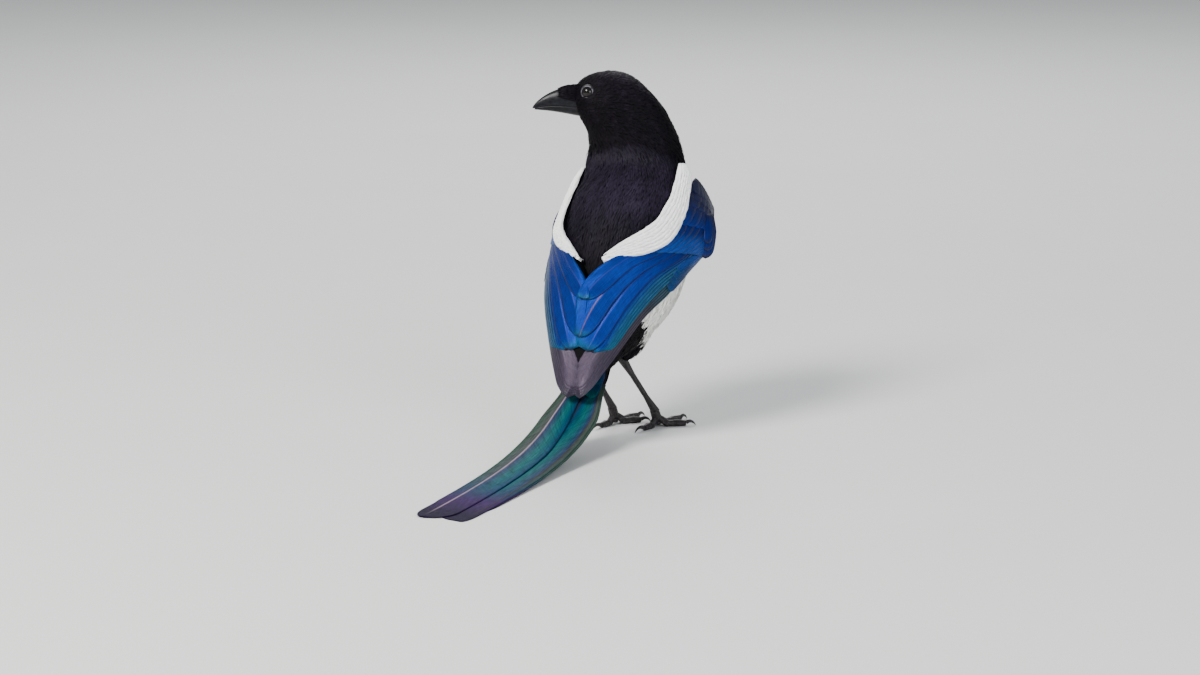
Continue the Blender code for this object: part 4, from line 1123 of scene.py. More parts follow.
# %% Coverts over the root of the tail
UNDER_COVERTS = ((-12.0, 44.0, 5.5, 10.0), (-12.0, 38.0, 8.0, 8.0), (-12.0, 42.0, 2.0, 10.0))
UPPER_COVERTS = (
    (-6.0, 28.0, 7.5, 9.0, 0.8), (-6.0, 26.0, 4.0, 10.0, 1.2), (-8.0, 22.0, 6.5, 9.0, 1.6),
    (-8.0, 24.0, 2.5, 9.0, 1.9),
)
UNDER_STOPS = ((0.0, (*VENT, 0.0)), (1.0, (*VENT, 0.0)))
UPPER_STOPS = ((0.0, DARK), (0.3, TAIL_SLATE), (0.7, TAIL_BLUE), (1.0, TAIL_TEAL))


def lay_tail_covert(side, lie, rows, lift_of, stops):
    start, length, middle, width = lie
    share, offset = feather_grid(rows, 9)
    across = middle + offset * width * feather_width(share, length, width, 0.8)
    places = tail_place(start + length * share, across, lift_of(share, offset))
    tints = blended(stops, np.broadcast_arrays(share, offset)[0])
    tail.add(to_side(places, side), tints, width, length, 0.5)


for side in (1.0, -1.0):
    for lie in UNDER_COVERTS:
        lay_tail_covert(
            side, lie, 18, lambda share, offset: -2.2 - 3.6 * (1 - share) + 1.5 * offset**2, UNDER_STOPS)
    for *lie, rise in UPPER_COVERTS:
        lay_tail_covert(
            side, lie, 22, lambda share, offset: rise * (1 - share) ** 0.6 + 0.5 - 1.2 * offset**2,
            UPPER_STOPS)
tail_vanes = vane_finish(
    "tail_vanes", 0.55, barb_step=0.5, lock_depth=0.35, metal=0.2, gloss=0.03, splits=0.9)
tail.finish("tail_feathers", tail_vanes, 0.35, ("tail", "tail_middle", "tail_end"), "green_tail")

# %% [markdown]
# The long feathers are rooted in a small fleshy wedge. Without it one could look between them into the
# body from below, so a loft along the tail's own line fills the place.

# %% The root that the tail grows from
root_rings = []
for distance, half_width, half_depth, lift in (
    (-14.0, 7.0, 2.6, -2.4), (-6.0, 11.0, 4.2, -2.4), (4.0, 12.0, 4.0, -2.8), (20.0, 12.6, 2.6, -3.8),
    (36.0, 11.0, 1.5, -3.4), (50.0, 5.0, 0.6, -2.8),
):
    angle = np.linspace(0.0, 2 * math.pi, 24, endpoint=False)
    ring = tail_place(np.full(24, distance), half_width * np.cos(angle), lift + half_depth * np.sin(angle))
    root_rings.append(ring)
root_shape = bmesh.new()
add_loft(root_shape, root_rings)
tail_root = new_piece("tail_root", root_shape, skin_finish(), recalculate=True)
add_tint(tail_root.data, np.tile(VENT, (len(tail_root.data.vertices), 1)))

# %% [markdown]
# ## The coat
# Thousands of small body feathers make the bird's soft surface. They are far too many to place by hand,
# and the export keeps no particle hair, so each is a real sliver of mesh. First the ground they grow on:
# it scatters places evenly over a surface, and finds the nearest place and the way out of it for any
# point, which keeps every feather on the skin.

# %% Where the coat may grow
class Ground:
    """A surface that small feathers grow on."""

    def __init__(self, piece):
        self.tree = BVHTree.FromObject(piece, bpy.context.evaluated_depsgraph_get())
        mesh = piece.data
        mesh.calc_loop_triangles()
        corners = np.empty(len(mesh.loop_triangles) * 3, dtype=int)
        mesh.loop_triangles.foreach_get("vertices", corners)
        self.triangles = to_bird(corners_of(mesh))[corners.reshape(-1, 3)]
        first, second, third = self.triangles.transpose(1, 0, 2)
        self.areas = np.linalg.norm(np.cross(second - first, third - first), axis=1) / 2
        self.middles = self.triangles.mean(axis=1)

    def spots(self, wanted, spacing, rng):
        """Places scattered over the part that is wanted, about one in each small cube."""
        weights = self.areas * wanted(self.middles)
        count = int(4.0 * weights.sum() / spacing**2)
        chosen = rng.choice(len(weights), size=count, p=weights / weights.sum())
        a, b = rng.random((2, count, 1))
        flip = a + b > 1
        a, b = np.where(flip, 1 - a, a), np.where(flip, 1 - b, b)
        first, second, third = (self.triangles[chosen, corner] for corner in range(3))
        places = first + a * (second - first) + b * (third - first)
        cells = np.floor(places / spacing).astype(int)
        _, kept = np.unique(cells, axis=0, return_index=True)
        return places[np.sort(kept)]

    def snapped(self, places):
        """The nearest place on the surface to each place, with the way out of it there."""
        found = [self.tree.find_nearest(Vector(place)) for place in to_scene(places)]
        return to_bird([hit[0] for hit in found]), np.array([hit[1] for hit in found], dtype=float)


skin_ground = Ground(skin)
wing_ground = Ground(wing_bodies)
print("skin area, square mm:", int(skin_ground.areas.sum()), "wings:", int(wing_ground.areas.sum()))

# %% [markdown]
# A coat has a lie. On a bird the feathers stream back from the bill, then down the body to the tail, and
# straight down on the legs. No feather follows it exactly, so each is turned a little by chance.

# %% The lie of the coat
BILL_BASE = on_head(34.0, 0.0, 214.0)
TAIL_BASE = np.array((0.0, -80.0, 42.0))


def lie_of(places, normals, rng, spread=0.12):
    """The way a feather lies at each place, along the skin."""
    from_bill = unit(places - BILL_BASE)
    to_tail = unit(TAIL_BASE - places)
    low = smooth_step(205.0, 165.0, places[:, 2])[:, None]
    way = from_bill * (1 - low) + to_tail * low
    legs = smooth_step(66.0, 54.0, places[:, 2])[:, None] * smooth_step(-45.0, -30.0, places[:, 1])[:, None]
    way = way * (1 - legs) + np.array((0.0, -0.35, -1.0)) * legs
    way = way + spread * rng.normal(size=way.shape)
    way -= np.sum(way * normals, axis=1)[:, None] * normals
    return unit(way)


print("the coat streams from", BILL_BASE.round(1), "to", TAIL_BASE)

# %% [markdown]
# One small feather is a thin leaf of 13 points: three rings of four, from the root to near the tip, and
# the tip itself. The rings are set down on the skin one after the other, a little higher each time, so
# that the leaf bends with the body and overlaps the next one. All leaves of a coat are the same few
# faces over and over, so they are joined in one mesh straight from arrays.

# %% The leaf and its maps
LEAF_SHARES = np.array((0.0, 0.40, 0.78, 1.0))
LEAF_WIDTHS = np.array((0.45, 1.0, 0.70, 0.0))
LEAF_RISES = np.array((-0.35, 0.40, 0.85, 1.0))
LEAF_QUADS = [(row * 4 + side, row * 4 + (side + 1) % 4, row * 4 + 4 + (side + 1) % 4, row * 4 + 4 + side)
              for row in range(2) for side in range(4)]
LEAF_TIPS = [(8 + side, 8 + (side + 1) % 4, 12) for side in range(4)]
# Painted shading of a leaf's rings: darker at the root, as shade where the next leaf covers it, and paler
# towards the tip.
LEAF_PAINTED_SHADING = np.repeat((-1.2, -0.4, 0.3, 0.8), (4, 4, 4, 1))


def mesh_with_maps(name, points, faces, maps):
    """A mesh from arrays of points and faces, with one place per point on each of its maps."""
    mesh = bpy.data.meshes.new(name)
    mesh.from_pydata(to_scene(points.reshape(-1, 3)), [], faces)
    corner = np.empty(len(mesh.loops), dtype=int)
    mesh.loops.foreach_get("vertex_index", corner)
    for map_name, values in maps.items():
        layer = mesh.uv_layers.new(name=map_name)
        layer.data.foreach_set("uv", values.reshape(-1, 2)[corner].astype(np.float32).ravel())
    return mesh


def unwrap_round(places, middle):
    """A map of a rounded shape: longitude and latitude about its middle."""
    way = unit(places - middle)
    turn = np.arctan2(way[:, 1], way[:, 0]) / math.tau + 0.5
    return np.stack([0.01 + 0.97 * turn, 0.01 + 0.97 * np.arccos(way[:, 2]) / math.pi], axis=1)


def leaf_maps(roots, length, width):
    """Millimetres of each leaf for its streaks, and a place for its root on the bake's map."""
    count = len(roots)
    across = np.tile([0, 0.5, 1, 0.5] * 3 + [0.5], count).reshape(count, 13)
    lengthwise = np.tile(np.repeat(LEAF_SHARES, (4, 4, 4, 1)), count).reshape(count, 13)
    shift = np.arange(count)[:, None]
    real = (across * width[:, None] + shift * 3.7, lengthwise * length[:, None] + shift % 83)
    on_bake = unwrap_round(roots, roots.mean(axis=0))[:, None, :]
    on_bake = on_bake + 0.003 * np.stack([across, lengthwise], axis=-1)
    return {"Barbs": np.stack(real, axis=-1), "OFBake": on_bake}


print("a leaf has", 1 + len(LEAF_QUADS) + len(LEAF_TIPS), "faces")

# %% [markdown]
# The rings of all leaves are set down at once, ring by ring. Each ring is a low diamond: two points at
# the leaf's edges, one above its middle and one below.

# %% Points of all the leaves of a coat
def leaf_points(ground, roots, way, length, width, depth, thickness):
    """The 13 points of each leaf, and the way that each of them faces."""
    points, facing = np.empty((len(roots), 13, 3)), np.empty((len(roots), 13, 3))
    for row, (share, wide, rise) in enumerate(zip(LEAF_SHARES, LEAF_WIDTHS, LEAF_RISES)):
        place, normal = ground.snapped(roots + way * (length * share)[:, None])
        centre = place + normal * (depth * rise)[:, None]
        sideways = unit(np.cross(normal, way))
        across = sideways * (width * wide / 2)[:, None]
        up = normal * thickness / 2
        if row == 3:
            points[:, 12], facing[:, 12] = centre, normal
            break
        rows = slice(row * 4, row * 4 + 4)
        points[:, rows] = np.stack([centre - across, centre + up, centre + across, centre - up], axis=1)
        lean = 0.6 * sideways
        facing[:, rows] = np.stack([normal - lean, normal, normal + lean, -normal], axis=1)
    return points, facing


def leaf_faces(count):
    starts = 13 * np.arange(count)[:, None, None]
    quads = (starts + np.array([(3, 2, 1, 0), *[face[::-1] for face in LEAF_QUADS]])).reshape(-1, 4)
    tips = (starts + np.array([face[::-1] for face in LEAF_TIPS])).reshape(-1, 3)
    return quads.tolist() + tips.tolist()


print("two leaves have", len(leaf_faces(2)), "faces")

# %% [markdown]
# Real feathers differ a little in size, tone and lie. Each leaf is painted darker at its root, as shade
# where the next ones cover it, and paler towards its tip. The leaves' own normals would show every facet,
# so each point is told to face as a softly rounded feather would.

# %% Many small feathers in one piece
def grow_coat(name, material, roots, length, width, depth, colours, rng, thickness=0.2, spread=0.12,
              finish_slot="black_plumage", variety=0.18, ground=skin_ground):
    count = len(roots)
    length = length * rng.uniform(0.8, 1.2, count)
    width = width * rng.uniform(0.85, 1.15, count)
    depth = depth * rng.uniform(0.75, 1.15, count)
    _, normals = ground.snapped(roots)
    way = lie_of(roots, normals, rng, spread)
    points, facing = leaf_points(ground, roots, way, length, width, depth, thickness)
    mesh = mesh_with_maps(name, points, leaf_faces(count), leaf_maps(roots, length, width))
    # painted shade at each leaf's root, where the next leaf covers it, and a paler tip
    painted_shading = (1.0 + variety * LEAF_PAINTED_SHADING)[None, :, None]
    tone = rng.uniform(1.0 - variety, 1.0 + variety, (count, 1, 1))
    add_tint(mesh, np.clip(colours[:, None, :3] * painted_shading * tone, 0, 0.95).reshape(-1, 3))
    piece_of_mesh(name, mesh, material, (), finish_slot)
    mesh.normals_split_custom_set_from_vertices(unit(facing.reshape(-1, 3)))
    print(name, "has", count, "feathers")


print("a leaf's root is darker than its middle by", -LEAF_PAINTED_SHADING.min(), "times its coat's variety")

# %% [markdown]
# No feather may grow through an eye or the bill, and those that a wing covers would never be seen. The
# eyes are set first: a ray down to the skin finds how far out each one stands. Rays from the skin
# outwards then tell what lies under a wing.

# %% Keep the coat off the eyes, the bill and what the wings cover
LID_HEIGHT = 2.4
EYE_LOOKS = {side: unit(side * CHEEK_WAY + 0.34 * BILL_WAY + 0.2 * UP) for side in (1.0, -1.0)}
EYES = {}
for side, look in EYE_LOOKS.items():
    middle = on_head(27.0, side * 11.4, 223.6)
    on_skin = skin_ground.tree.ray_cast(Vector(to_scene(middle + 20.0 * look)), Vector(-look))[0]
    EYES[side] = to_bird(np.array(on_skin)) - LID_HEIGHT * look


def uncovered(places):
    """Tells which places no wing lies over."""
    _, normals = skin_ground.snapped(places)
    starts, ways = to_scene(places + 0.4 * normals), normals
    wings = wing_ground.tree
    hits = [wings.ray_cast(Vector(start), Vector(way), 0.016)[0] for start, way in zip(starts, ways)]
    inside = [wings.ray_cast(Vector(start), Vector(-way), 0.004)[0] for start, way in zip(starts, ways)]
    return np.array([hit is None and under is None for hit, under in zip(hits, inside)])


def clear_of_face(places, eye_room=5.2):
    clear = np.ones(len(places), dtype=bool)
    for eye in EYES.values():
        clear &= np.linalg.norm(places - eye, axis=1) > eye_room
    forward = (places - NECK_AXIS) @ BILL_WAY
    inside_bill = (forward > 31.5) & (np.abs((places - NECK_AXIS) @ CHEEK_WAY) < 6.5)
    return clear & ~(inside_bill & (places[:, 2] > 206.5) & (places[:, 2] < 224.5))


print("eyes at", {side: place.round(1).tolist() for side, place in EYES.items()})

# %% [markdown]
# The face has the shortest feathers of all, fine as velvet, and the crown and nape have somewhat longer
# ones. A zone is a function that says which parts of the skin a coat grows on.

# %% Head and face
rng = np.random.default_rng(11)
FACE_EDGE = 0.45


def head_zone(middles):
    return smooth_step(196.0, 197.0, middles[:, 2]) * (face_share(middles) < FACE_EDGE)


def face_zone(middles):
    return (face_share(middles) >= FACE_EDGE) * 1.0


def dressed(name, zone, keep, spacing, length, width, depth, material=dark_plumage, **more):
    """Grows a coat on one zone of the skin, with each feather's length, width and depth in millimetres."""
    roots = skin_ground.spots(zone, spacing, rng)
    for test in keep:
        roots = roots[test(roots)]
    grow_coat(name, material, roots, length, width, depth, plumage_colour(roots), rng, **more)


dressed("coat_face", face_zone, [clear_of_face], 0.85, 2.6, 0.75, 0.75, thickness=0.14, variety=0.5)
dressed("coat_head", head_zone, [clear_of_face], 1.15, 4.4, 1.0, 1.35, thickness=0.18, variety=0.45)

# %% [markdown]
# The hood's feathers end on the collar's line, and the mantle's begin there, so the line between black
# and brown is a row of feather tips, as on the real bird. The mantle's are the longest and thinnest.

# %% Neck, back and breast
def hood_zone(middles):
    z = middles[:, 2]
    return ((z <= 197.0) & (z > 172.0)) * 1.0


def mantle_zone(middles):
    z = middles[:, 2]
    return ((z <= 195.0) & (z > 100.0) & (belly_share(middles) < 0.5)) * 1.0


def above_collar(places):
    return places[:, 2] > collar_height(places) - 1.0


def below_collar(places):
    return places[:, 2] <= collar_height(places)


dressed("coat_mantle", mantle_zone, [uncovered, below_collar], 1.5, 9.0, 1.3, 1.3, thickness=0.16)
dressed("coat_hood", hood_zone, [uncovered, above_collar], 1.35, 6.5, 1.2, 1.7, variety=0.4)

# %% [markdown]
# The white feathers of the belly and flanks are long, soft and wide, and hardly differ in tone. Black
# ones cover the vent and the thighs down to the heel.

# %% White belly and flanks, black vent and thighs
def belly_zone(middles):
    return (belly_share(middles) >= 0.5) * 1.0


def vent_zone(middles):
    return ((middles[:, 2] <= 100.0) & (belly_share(middles) < 0.5)) * 1.0


dressed("coat_belly", belly_zone, [uncovered], 1.9, 10.0, 1.9, 1.4, white_plumage,
        finish_slot="white_plumage", variety=0.03)
dressed("coat_vent_and_thighs", vent_zone, [uncovered], 1.7, 7.0, 1.5, 1.5)

# %% [markdown]
# From the front and from below one sees the inner side of the folded wings. It is downy and black, so the
# wings' bodies get a coat of their own there.

# %% Down under the wings and over their front ends
UNDER_WING = np.array((0.0045, 0.0036, 0.0060))


def under_wing_zone(middles):
    """The wing's inner side and front, where it stands clear of the body."""
    _, normals = wing_ground.snapped(middles)
    on_body, _ = skin_ground.snapped(middles)
    clear = (np.linalg.norm(middles - on_body, axis=1) > 1.5) & (np.abs(middles[:, 0]) > 18.0)
    return clear * ((normals[:, 1] > 0.2) | (normals[:, 0] * middles[:, 0] < 0.0))


down_roots = wing_ground.spots(under_wing_zone, 1.9, rng)
down_colours = np.tile(UNDER_WING, (len(down_roots), 1))
grow_coat("coat_under_wings", dark_plumage, down_roots, 6.5, 1.7, 0.9, down_colours, rng,
          ground=wing_ground)

# %% [markdown]
# ## White shoulder bands
# Two white bands of scapular feathers frame the dark back. Their line runs from the shoulder round the
# back to the rump. A place on a band is given by three numbers: along it, across it, and above it.

# %% The line of the shoulder band
SHOULDER_BAND = (
    (33.5, 13.5, 178.0), (36.5, 8.5, 169.5), (38.0, 1.0, 161.5), (39.0, -10.0, 150.5), (36.5, -28.0, 138.0),
    (29.0, -41.0, 132.0), (19.0, -52.0, 128.0), (8.0, -61.5, 122.5),
)
BAND_HALF_WIDTHS = (2.4, 5.0, 5.6, 6.6, 7.4, 6.8, 4.8, 2.2)
BAND_STARTS = {1.0: 0.02, -1.0: 0.12}
BAND_INNER_EDGES = {1.0: -0.92, -1.0: -0.05}
BAND_OUTER_EDGE = 0.92


def band_place(share, across, lift, inner):
    """A place on the right band: along it, across it from -1 to 1, and above it in mm."""
    share, across, lift = (np.asarray(value, float) for value in np.broadcast_arrays(share, across, lift))
    centre = along(SHOULDER_BAND, share)
    ahead = along(SHOULDER_BAND, np.minimum(share + 0.02, 1))
    behind = along(SHOULDER_BAND, np.maximum(share - 0.02, 0))
    forward = unit(ahead - behind)
    axis = centre * (0.0, 0.0, 1.0) - (0.0, 0.0, 22.0) + np.stack(
        [0 * share, -8.0 + 0.62 * (centre[..., 2] - 115.0), 0 * share], axis=-1)
    sideways = unit(np.cross(centre - axis, forward))
    outward = unit(np.cross(forward, sideways))
    half = along(BAND_HALF_WIDTHS, share)[..., 0]
    middle = (BAND_OUTER_EDGE + inner) / 2
    from_middle = (across - middle) / (BAND_OUTER_EDGE - middle)
    crown = lift - 1.2 * np.maximum(-from_middle, 0.0) ** 2 - 0.5 * np.maximum(from_middle, 0.0) ** 2
    return centre + (half * across)[..., None] * sideways + crown[..., None] * outward


band_line = along(SHOULDER_BAND, np.linspace(0.0, 1.0, 60))
print("a shoulder band is", np.linalg.norm(np.diff(band_line, axis=0), axis=1).sum().round(1), "mm long")

# %% [markdown]
# Under the band's feathers lies a smooth white core, so that no dark skin shows between them. Its wall
# towards the back is dark, as the mantle is, or it would show as a hard white edge.

# %% The bands' cores
bands = bmesh.new()
inner_walls = []
for side in (1.0, -1.0):
    rings = []
    for share in np.linspace(BAND_STARTS[side], 1.0, 30):
        across = np.linspace(BAND_INNER_EDGES[side], 0.9, 12)
        top = band_place(np.full(12, share), across, 1.5, BAND_INNER_EDGES[side])
        under = band_place(np.full(12, share), across, -2.2, BAND_INNER_EDGES[side])
        rings.append(to_side(np.concatenate([top, under[::-1]]), side))
        inner_walls += [rings[-1][0], rings[-1][-1]]
    add_loft(bands, rings)
cut_ends(bands)
band_cores = new_piece("shoulder_band_cores", bands, white_plumage, (), "white_plumage", recalculate=True)
core_places = to_bird(corners_of(band_cores.data))
from_wall = np.linalg.norm(core_places[:, None] - np.array(inner_walls)[None], axis=2).min(axis=1)
add_tint(band_cores.data, np.where(from_wall[:, None] < 0.01, 0.4 * MANTLE, (0.9, 0.9, 0.9)))
print("dark points on the cores' inner walls:", int((from_wall < 0.01).sum()))

# %% [markdown]
# Slender white feathers lie along each band in seven lanes, laid from its end to its start, so that each
# covers the root of the one behind it. Small chance shifts keep the rows from looking woven.

# %% The bands' feathers
BAND_LANES, BAND_ROWS = 7, 34


def band_colour(share):
    white = np.broadcast_to((0.93, 0.93, 0.92, 0.0), (*share.shape, 4))
    return mixed(white, (0.80, 0.81, 0.86, 0.0), smooth_step(0.25, 0.0, share))


band_sheets = Sheets()
band_rng = np.random.default_rng(23)
for side in (1.0, -1.0):
    lanes = np.linspace(BAND_INNER_EDGES[side], BAND_OUTER_EDGE, BAND_LANES)
    for start in np.linspace(0.82, BAND_STARTS[side] - 0.04, BAND_ROWS):
        for lane in lanes + band_rng.uniform(-0.06, 0.06, BAND_LANES):
            first = np.clip(start + band_rng.uniform(-0.015, 0.015), BAND_STARTS[side], 0.9)
            share = np.linspace(0.0, 1.0, 6)[:, None]
            offset = np.linspace(-0.5, 0.5, 4)[None, :]
            reach = band_rng.uniform(0.13, 0.19)
            width = band_rng.uniform(0.30, 0.42)
            outline = feather_width(share, 12.0, 3.0, 1.6)
            across = lane * (1 + 0.10 * share * (lane < 0)) + offset * outline * width
            lift = 1.6 + 1.2 * share + 0.2 * np.cos(offset * math.pi)
            along_band = np.minimum(first + reach * share, 1.0) + 0 * offset
            places = band_place(along_band, across, lift, BAND_INNER_EDGES[side])
            tints = band_colour(np.broadcast_arrays(share, offset)[0])
            band_sheets.add(to_side(places, side), tints, 3.0, 12.0)
BAND_NODES = ("scapulars_right", "scapulars_left")
band_sheets.finish("scapular_feathers", white_plumage, 0.22, BAND_NODES, "white_plumage")

# %% [markdown]
# ## Bill, bristles and eyes
# The bill is two horny halves that close on one line. The upper half arches to a small hook. A few short
# formulas give the height of that line, of the ridge and of the keel, and the width, at any distance
# forward, and each half is a loft through sections between two of them.

# %% The halves of the bill
BILL_ROOT, BILL_TIP, MOUTH_CORNER = 28.0, 64.3, 32.0


def bill_share(forward):
    return np.clip((np.asarray(forward, float) - MOUTH_CORNER) / (BILL_TIP - MOUTH_CORNER), 0.0, 1.0)


def mouth_height(forward):
    share = bill_share(forward)
    return 212.4 + 0.9 * np.sin(math.pi * share) - 1.3 * share**4


def bill_half_width(forward):
    return 7.2 * (1 - bill_share(forward)) ** 0.8 + 0.4


def culmen_height(forward):
    return mouth_height(forward) + 13.2 * (1 - bill_share(forward) ** 1.6) ** 0.7 + 0.6


def keel_height(forward):
    return mouth_height(forward) - 6.0 * (1 - bill_share(forward) ** 1.3) ** 0.8 - 0.5


def bill_rings(upper):
    way = 1.0 if upper else -1.0
    reach = BILL_TIP if upper else BILL_TIP - 1.4
    rings = []
    for forward in BILL_ROOT + (reach - BILL_ROOT) * (1 - (1 - np.linspace(0, 1, 34)) ** 1.3):
        wide, edge = bill_half_width(forward), mouth_height(forward) + way * 0.04
        far = culmen_height(forward) if upper else keel_height(forward)
        angle = np.linspace(0.0, math.pi, 25)
        side = np.concatenate([[-wide * 0.5, wide * 0.5], wide * np.cos(angle)])
        rise = edge + (far - edge) * np.sin(angle) ** 0.9
        rise = np.concatenate([[edge, edge], rise])
        rings.append(on_head(np.full(27, forward), side, rise))
    return rings


upper_depth = culmen_height(MOUTH_CORNER) - mouth_height(MOUTH_CORNER)
print("the upper half is", upper_depth.round(1), "mm deep at the corner of the mouth")

# %% [markdown]
# The horn is black and half polished. Its grain runs along the bill, so the noise is turned to the
# bill's line first and then stretched along it. Dull spots of wear lie over that.

# %% The finish of the bill, and both halves
def horn_finish():
    finish = Finish("bill_horn", roughness=0.30, specular_ior_level=0.17)
    place = finish.place()
    turned = finish.node("ShaderNodeMapping", None, {"Vector": place, "Rotation": (0.0, 0.0, -0.4)})
    grain = finish.noise(finish.stretched(turned, (90.0, 500.0, 700.0)), 1.0, 3.0)
    wear = finish.noise(place, 380.0, 4.0, 0.6)
    worn = finish.range(wear, 0.35, 0.7)
    return finish.surface(
        base_color=finish.mix(worn, rgb(0.003, 0.0032, 0.0045), rgb(0.011, 0.011, 0.015)),
        roughness=finish.range(grain, 0.3, 0.7, 0.26, 0.42),
        normal=finish.bump(grain + wear, 0.25, 0.0001),
    )


bill_horn = horn_finish()
for upper, name in ((True, "bill_upper"), (False, "bill_lower")):
    half = bmesh.new()
    add_loft(half, bill_rings(upper))
    cut_ends(half)
    new_piece(name + "_horn", half, bill_horn, (name,), "bill_horn", recalculate=True)

# %% [markdown]
# Stiff bristles cover the root of the upper half and hide the nostrils. Each one starts near the skin,
# points forward, and lifts a little off the horn. Curves with a bevel would do it, but 1,700 of them are
# lighter as three-sided strands that are drawn out to a point.

# %% Bristles over the root of the bill
BRISTLES = 1700


def grow_bristles(count):
    bristle_rng = np.random.default_rng(31)
    side = np.where(bristle_rng.random(count) < 0.5, 1.0, -1.0)
    up = bristle_rng.uniform(0.22, 1.0, count) ** 0.8
    limit = 37.0 + 11.0 * smooth_step(0.25, 0.55, up)
    length = bristle_rng.uniform(5.0, 8.5, count)
    start = 27.5 + (limit - length - 27.5) * bristle_rng.uniform(0.0, 1.0, count)
    reach = start + length
    points = np.empty((count, 4, 3))
    for row, share in enumerate((0.0, 0.35, 0.7, 1.0)):
        forward = start + (reach - start) * share
        angle = np.arcsin(np.clip(up, 0.0, 1.0))
        edge, far = mouth_height(forward), culmen_height(forward)
        stand = 1.0 - 0.45 * share + bristle_rng.uniform(0.0, 0.35, count)
        out = (bill_half_width(forward) + stand) * np.cos(angle) * side
        rise = edge + (far - edge + stand) * np.sin(angle)
        points[:, row] = on_head(forward, out, rise)
    return points


def strands(name, lines, thickness, material, colour):
    """Thin three-sided strands along lines of four points, drawn out to a point."""
    count = len(lines)
    points = np.empty((count, 10, 3))
    way = unit(lines[:, 3] - lines[:, 0])
    first = unit(np.cross(way, UP))
    second = np.cross(way, first)
    for row, size in enumerate((1.0, 0.9, 0.55)):
        for corner in range(3):
            turn = math.tau * corner / 3
            out = (math.cos(turn) * first + math.sin(turn) * second) * thickness / 2 * size
            points[:, row * 3 + corner] = lines[:, row] + out
    points[:, 9] = lines[:, 3]
    quads = [(row * 3 + c, row * 3 + (c + 1) % 3, row * 3 + 3 + (c + 1) % 3, row * 3 + 3 + c)
             for row in range(2) for c in range(3)]
    tips = [(6 + c, 6 + (c + 1) % 3, 9) for c in range(3)] + [(2, 1, 0)]
    starts = 10 * np.arange(count)[:, None, None]
    quads = (starts + np.array(quads)).reshape(-1, 4)
    tips = (starts + np.array(tips)).reshape(-1, 3)
    place = unwrap_round(points.reshape(-1, 3), points.reshape(-1, 3).mean(axis=0))
    maps = {"Barbs": place * 40.0, "OFBake": place}
    mesh = mesh_with_maps(name, points, quads.tolist() + tips.tolist(), maps)
    add_tint(mesh, np.tile(colour, (len(mesh.vertices), 1)))
    piece_of_mesh(name, mesh, material, (), "black_plumage")


strands("nasal_bristles", grow_bristles(BRISTLES), 0.5, dark_plumage, HOOD * 1.5)

# %% [markdown]
# The eye is a dark glossy ball. Only the key light's small reflection brings it to life, so it is almost
# black and very smooth. The lid round it is a raised ring of bare skin, pale on its crest but broken up
# by small feathers, which noise stands for.

# %% The finish of the eyes and lids
LID_SKIN = np.array((0.004, 0.0035, 0.005))
LID_PALE = np.array((0.085, 0.078, 0.10))


def eye_finish():
    finish = Finish("eye", roughness=0.05, specular_ior_level=0.35)
    cloudy = finish.noise(finish.place(), 900.0, 2.0)
    tone = finish.mix(cloudy, rgb(0.0015, 0.001, 0.001), rgb(0.005, 0.003, 0.0025))
    return finish.surface(base_color=tone)


def lid_finish():
    finish = Finish("eyelid_skin", roughness=0.45)
    broken = finish.range(finish.noise(finish.place(), 650.0, 3.0, 0.6), 0.45, 0.55, 0.05, 1.0)
    folds = finish.noise(finish.place(), 2200.0, 2.0)
    tone = finish.mix(broken, rgb(*LID_SKIN), finish.tint())
    return finish.surface(base_color=tone, normal=finish.bump(folds, 0.5, 0.0001))


eye_gloss, lid_skin = eye_finish(), lid_finish()
print("the lid's skin:", LID_SKIN, "and its crest:", LID_SKIN + LID_PALE)

# %% [markdown]
# A ball and a spun section are made upright at the origin, and are then turned to the way that the eye
# looks and moved to its place. The section goes from the lid's free edge over the ball to the root of the
# feathers round it, and back underneath.

# %% The eyes and their lids
EYE_RADIUS = 4.3
LID_PROFILE = (
    (3.45, 2.60), (3.6, 2.95), (3.9, 2.90), (4.15, 2.75), (4.4, 2.55), (4.7, 2.2), (5.1, 1.7), (5.4, 0.8),
    (4.6, 0.8), (4.3, 1.2), (3.9, 1.9),
)
LID_CREST = (0.0, 0.25, 1.0, 1.0, 0.5, 0.1, 0.0, 0.0, 0.0, 0.0, 0.0)


def set_in_head(shape, side):
    look = Vector(EYE_LOOKS[side]).to_track_quat("Z", "Y").to_matrix()
    bmesh.ops.rotate(shape, matrix=look, verts=shape.verts)
    bmesh.ops.translate(shape, vec=Vector(to_scene(EYES[side])), verts=shape.verts)


for side, name in ((1.0, "left"), (-1.0, "right")):
    ball = bmesh.new()
    bmesh.ops.create_uvsphere(ball, u_segments=40, v_segments=24, radius=EYE_RADIUS * MM)
    set_in_head(ball, side)
    new_piece("eye_" + name + "_ball", ball, eye_gloss, ("eye_" + name,), "eye_dark")
    lid = bmesh.new()
    lid_tint = lid.verts.layers.float_color.new("Tint")
    ring = [lid.verts.new(Vector((out * MM, 0.0, rise * MM))) for out, rise in LID_PROFILE]
    for vertex, crest in zip(ring, LID_CREST):
        vertex[lid_tint] = (*(LID_SKIN + crest * LID_PALE), 1.0)
    edges = [lid.edges.new((ring[i], ring[(i + 1) % len(ring)])) for i in range(len(ring))]
    bmesh.ops.spin(
        lid, geom=edges + ring, cent=(0, 0, 0), axis=(0, 0, 1), angle=math.tau, steps=48, use_merge=True)
    set_in_head(lid, side)
    new_piece("eyelid_" + name, lid, lid_skin, (), "black_plumage", recalculate=True)

# %% [markdown]
# ## Legs, feet and claws
# The solid legs already have the right shape, so they stay and only get a finish: plates of dark horn
# with fine pale lines between them, and smooth polished claws.

